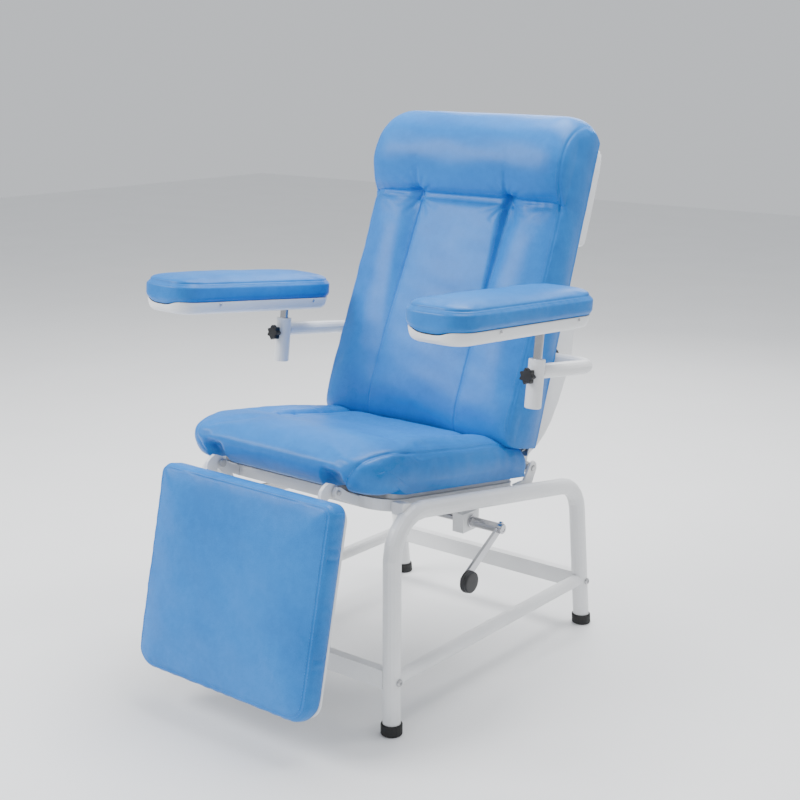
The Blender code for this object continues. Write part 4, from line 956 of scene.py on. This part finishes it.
def tray_mesh(tag):
    """Shallow moulded tray, its rim dipping at the front end."""
    lv = [(0, 18), (0.6, 15), (2, 11.5), (4.5, 8), (8, 5), (12, 3.2), (16, 2), (21, 0.8), (26, 0.1), (27.4, 0.2), (28, 0.9), (27.6, 2.6), (24, 3.2), (20, 3.4)]
    hx, hy, r, seg = 77.0, 235.0, 50.0, 14
    rings = []
    for h, ins in lv:
        rr = r - ins
        pts = []
        for cx, cy, a0 in ((hx - r, hy - r, 0), (-hx + r, hy - r, 90), (-hx + r, -hy + r, 180), (hx - r, -hy + r, 270)):
            for k in range(seg + 1):
                a = radians(a0 + 90 * k / seg)
                pts.append((cx + rr * cos(a), cy + rr * sin(a)))
        dense = []
        for i in range(len(pts)):
            p, q2 = np.array(pts[i]), np.array(pts[(i + 1) % len(pts)])
            m = max(1, int(np.linalg.norm(q2 - p) // 12))
            m = 4 if np.linalg.norm(q2 - p) < 60 and i % (seg + 1) == seg and hx - r < 40 and abs(p[1] - q2[1]) < 1 else (24 if i % (seg + 1) == seg else 1)
            for j in range(m):
                dense.append(tuple(p + (q2 - p) * j / m))
        rings.append(np.array([(x, y, h) for x, y in dense]))
    n = len(rings[0])
    V = np.concatenate(rings)
    dip = 9.0 * np.exp(-(V[:, 0] / 40.0) ** 4) * sstep(-V[:, 1], 165, 214)
    V[:, 2] = V[:, 2] - dip * sstep(V[:, 2], 4, 20)
    F = []
    for i in range(len(rings) - 1):
        for k in range(n):
            kk = (k + 1) % n
            F.append((i * n + k, i * n + kk, (i + 1) * n + kk, (i + 1) * n + k))
    F.append(tuple(range(n - 1, -1, -1)))
    F.append(tuple((len(rings) - 1) * n + k for k in range(n)))
    ob = new_object("arm_tray_shell_" + tag, V, F)
    return ob


def slab(name, hx, hy, r, h0, h1, edge=1.2, seg=12):
    rings = []
    for h, ins in ((h0, edge), (h0 + edge, 0), (h1 - edge, 0), (h1, edge)):
        rr = r - ins
        for cx, cy, a0 in ((hx - r, hy - r, 0), (-hx + r, hy - r, 90), (-hx + r, -hy + r, 180), (hx - r, -hy + r, 270)):
            for k in range(seg + 1):
                a = radians(a0 + 90 * k / seg)
                rings.append((cx + rr * cos(a), cy + rr * sin(a), h))
    n = 4 * (seg + 1)
    F = []
    for i in range(3):
        for k in range(n):
            kk = (k + 1) % n
            F.append((i * n + k, i * n + kk, (i + 1) * n + kk, (i + 1) * n + k))
    F.append(tuple(range(n - 1, -1, -1)))
    F.append(tuple(3 * n + k for k in range(n)))
    return new_object(name, rings, F)


def back_line(x, s0, s1, n=60):
    s = np.linspace(s0, s1, n)
    return back(np.stack([np.full(n, float(x)), s, smooth_tab(BACK_FRONT[:-1], s)], -1))


# ------------------------------------------------------------ build
paint_cad()
for nm, ob in frame["nodes"].items():
    smooth(ob, 34)

soft = {}
ob = finish_soft(back_shape(), back, back_field)
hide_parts("back_cushion")
soft["backrest"] = dress(ob, "blue_upholstery", "backrest")

ob = finish_soft(seat_shape(), seatf, seat_field)
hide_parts("seat_cushion")
soft["base"] = dress(ob, "blue_upholstery", "base")

ob = finish_soft(leg_shape(), legplace, leg_field)
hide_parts("legrest_pad")
soft["legrest"] = dress(ob, "blue_upholstery", "legrest")

pn = slab("legrest_back_panel", 235.0, 212.0, 33.0, -9.0, -0.2, 1.6)
set_coords(pn, legplace(coords(pn)))
outward(pn)
smooth(pn, 40)
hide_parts("legrest_panel")
dress(pn, "white_abs", "legrest")

for tag in "LR":
    ob = finish_soft(arm_shape(tag), restf(tag), arm_field)
    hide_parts("arm_pad_" + tag)
    soft["armrest_" + tag] = dress(ob, "blue_upholstery", "armrest_" + tag)
    tr = tray_mesh(tag)
    set_coords(tr, restf(tag)(coords(tr)))
    outward(tr)
    smooth(tr, 50)
    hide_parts("arm_tray_" + tag)
    dress(tr, "white_abs", "armrest_" + tag)
    bd = slab("arm_board_" + tag, 72.0, 229.0, 45.0, 8.0, 20.6)
    set_coords(bd, restf(tag)(coords(bd)))
    outward(bd)
    smooth(bd, 40)
    dress(bd, "seat_plywood", "armrest_" + tag)

# stitching
th = stitches("back_stitching", soft["backrest"],
              [back(np.stack([np.linspace(-252, 252, 120), np.full(120, HEAD + k), np.full(120, 118.0)], -1)) for k in (-7, 9)]
              + [back_line(sg * (CH_X + k), 12, 528) for sg in (-1, 1) for k in (-4, 4)]
              + [back_line(sg * k, 20, 700) for sg in (-1, 1) for k in (260.5,)], 6.5, 4.0, 0.5)
dress(th, "thread", "backrest")
ls = []
for k in (5.5, 12.0):
    pts = []
    for cx, cy, a0, rr in ((236.5 - 44, 215 - 44, 0, 44), (-236.5 + 44, 215 - 44, 90, 44), (-236.5 + 24, -215 + 24, 180, 24), (236.5 - 24, -215 + 24, 270, 24)):
        for j in range(9):
            a = radians(a0 + 90 * j / 8)
            pts.append((cx + (rr - k) * cos(a), cy + (rr - k) * sin(a), 46.0))
    pts.append(pts[0])
    ls.append(legplace(np.array(pts)))
dress(stitches("legrest_stitching", soft["legrest"], ls, 6.5, 4.0, 0.5), "thread", "legrest")
dress(stitches("seat_stitching", soft["base"], [seatf(np.array(resample(curve_through(seat_corner(sg), 80), 5.0)) + np.array([sg * o, -abs(o), o])) for sg in (-1, 1) for o in (3.5,)]
               + [seatf(np.stack([np.full(80, sg * k), np.linspace(130, 400, 80), np.interp(np.linspace(130, 400, 80), [60, 172, 300, 396], [593, 575, 552, 534])], -1)) for sg in (-1, 1) for k in (167.0, 250.0)],
               6.5, 4.0, 0.5), "thread", "base")
for tag in "LR":
    pts = []
    for cx, cy, a0 in ((27, 186, 0), (-27, 186, 90), (-27, -186, 180), (27, -186, 270)):
        for j in range(9):
            a = radians(a0 + 90 * j / 8)
            pts.append((cx + 50.5 * cos(a), cy + 50.5 * sin(a), 62.5))
    pts.append(pts[0])
    dress(stitches("arm_stitching_" + tag, soft["armrest_" + tag], [restf(tag)(np.array(pts))], 6.0, 3.8, 0.45), "thread", "armrest_" + tag)

# upper box of the rear shell, standing out from it
V, F, nring = [], [], 0
for s_, hx_, dp, rc in ((476, 250.0, 26.0, 10.0), (478, 254.5, 38.0, 12.0), (482, 257.0, 47.0, 14.0), (488, 258.0, 52.0, 15.0), (496, 258.0, 54.0, 15.0),
                        (540, 258.0, 54.5, 15.0), (600, 258.0, 54.0, 15.0), (650, 258.0, 53.0, 15.0), (684, 257.0, 51.6, 15.0), (696, 254.5, 50.0, 15.0),
                        (704, 250.0, 46.0, 15.0), (710, 243.0, 38.0, 14.0), (713.5, 234.0, 26.0, 10.0)):
    ring = [(hx_, -0.6), (hx_, -dp * 0.35)] + [(hx_ - rc * (1 - cos(pi * k / 16)), -(dp - rc) - rc * sin(pi * k / 16)) for k in range(9)]
    ring += [(hx_ * 0.6, -dp - 0.1), (hx_ * 0.2, -dp - 0.1)]
    ring += [(-x_, d_) for x_, d_ in ring[::-1]]
    nring = len(ring)
    V += [(x_, s_, d_) for x_, d_ in ring]
m = len(V) // nring
for i in range(m - 1):
    F += [(i * nring + k, i * nring + (k + 1) % nring, (i + 1) * nring + (k + 1) % nring, (i + 1) * nring + k) for k in range(nring)]
F += [tuple(range(nring - 1, -1, -1)), tuple((m - 1) * nring + k for k in range(nring))]
bx = new_object("back_shell_head_box", V, F)
set_coords(bx, back(coords(bx)))
outward(bx)
smooth(bx, 38)
dress(bx, "white_abs", "backrest")

# painted shade: black rubber rings where the arm tubes enter the shell stand in for the shadow in the holes
for tag, sg in (("L", 1), ("R", -1)):
    V, F = [], []
    prof = [(251.0, 17.2), (251.0, 25.0), (254.6, 25.6), (256.4, 24.6), (257.0, 22.0), (257.0, 18.6), (256.0, 17.2)]
    for x_, r_ in prof:
        V += [(sg * x_, 613.73 + r_ * cos(2 * pi * k / 40), 680.35 + r_ * sin(2 * pi * k / 40)) for k in range(40)]
    for i in range(len(prof)):
        j = (i + 1) % len(prof)
        F += [(i * 40 + k, i * 40 + (k + 1) % 40, j * 40 + (k + 1) % 40, j * 40 + k) for k in range(40)]
    hole_shade = new_object("arm_hole_shade_" + tag, seatf(np.array(V)), F)
    outward(hole_shade)
    smooth(hole_shade, 45)
    dress(hole_shade, "black_rubber", "backrest")

# plain face of the crank knob
lo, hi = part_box("crank_knob")
cy, cz = (lo.y + hi.y) / 2, (lo.z + hi.z) / 2
T = max(3.0, (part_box("crank_arm")[1].x - hi.x) * 1000 + 2.4)
prof = [(T - 0.7, 1.0), (T - 0.7, 9.0), (0.0, 9.0), (0.0, 22.4), (0.6, 22.9), (T - 1.4, 22.7), (T - 0.7, 22.0), (T - 0.2, 20.3), (T, 17.0), (T + 0.1, 9.0), (T + 0.1, 1.0)]
V, F = [], []
for a_, r_ in prof:
    V += [(hi.x - 0.0012 + a_ * 0.001, cy + r_ * 0.001 * cos(2 * pi * k / 48), cz + r_ * 0.001 * sin(2 * pi * k / 48)) for k in range(48)]
for i in range(len(prof) - 1):
    F += [(i * 48 + k, i * 48 + (k + 1) % 48, (i + 1) * 48 + (k + 1) % 48, (i + 1) * 48 + k) for k in range(48)]
F += [tuple(range(47, -1, -1)), tuple((len(prof) - 1) * 48 + k for k in range(48))]
cap = new_object("crank_knob_face", V, F)
outward(cap)
smooth(cap, 50)
dress(cap, "black_plastic", "crank_knob")

# thread of the lead screw
dirv = np.array([0.0, 1.0, -0.158])
dirv /= np.linalg.norm(dirv)
e1 = np.array([1.0, 0, 0])
e2 = np.cross(dirv, e1)
a = np.arange(27, 262, 4.0 / 18)
ph = a / 4.0 * 2 * pi
hx = np.array([100.0, 300.0, 376.0]) + a[:, None] * dirv + 7.75 * (np.cos(ph)[:, None] * e1 + np.sin(ph)[:, None] * e2)
scr = tube_along("lead_screw_thread", world(*hx.T), 0.0008, 6)
dress(scr, "bright_steel", "lead_screw")

# ------------------------------------------------------------ stage
fl = new_object("floor", [(-9, -9, 0), (9, -9, 0), (9, 9, 0), (-9, 9, 0)], [(0, 1, 2, 3)])
fm, ft, fb = tree("studio_floor")
fn = add(ft, "ShaderNodeTexNoise", Scale=3.0, Detail=2.0)
ft.links.new(obj_coords(ft), fn.inputs["Vector"])
fr_ = ramp(ft, fn.outputs["Fac"], [(0.3, (0.86, 0.865, 0.87)), (0.7, (0.88, 0.885, 0.89))])
ft.links.new(fr_.outputs[0], fb.inputs["Base Color"])
fb.inputs["Roughness"].default_value = 0.7
fl.data.materials.append(fm)

w = bpy.data.worlds.new("studio")
bpy.context.scene.world = w
w.use_nodes = True
w.node_tree.nodes["Background"].inputs[0].default_value = (0.93, 0.96, 1.0, 1)
w.node_tree.nodes["Background"].inputs[1].default_value = 0.74


def area(name, loc, target, size, power, col=(1, 1, 1)):
    d = bpy.data.lights.new(name, "AREA")
    d.shape = "RECTANGLE"
    d.size, d.size_y = size
    d.energy = power
    d.color = col
    o = bpy.data.objects.new(name, d)
    o.location = loc
    o.rotation_euler = (Vector(target) - Vector(loc)).to_track_quat("-Z", "Y").to_euler()
    bpy.context.scene.collection.objects.link(o)


area("key", (-2.2, -2.6, 3.0), (0, 0, 0.6), (2.2, 1.6), 165)
area("fill", (3.4, -1.4, 1.9), (0, 0, 0.5), (2.0, 2.0), 3, (0.97, 0.98, 1))
area("top", (0.2, 0.9, 3.4), (0, 0.1, 0.6), (2.6, 2.0), 165)
area("rim", (-1.2, 3.0, 2.0), (0, 0, 0.7), (1.6, 1.4), 26)

cam = bpy.data.cameras.new("cam")
cam.lens, cam.sensor_width = 63.128, 36.0
co = bpy.data.objects.new("cam", cam)
co.location = (1.9206513, -2.3427073, 1.3722365)
co.rotation_euler = (1.3235, -0.0043, 0.6702)
bpy.context.scene.collection.objects.link(co)
bpy.context.scene.camera = co
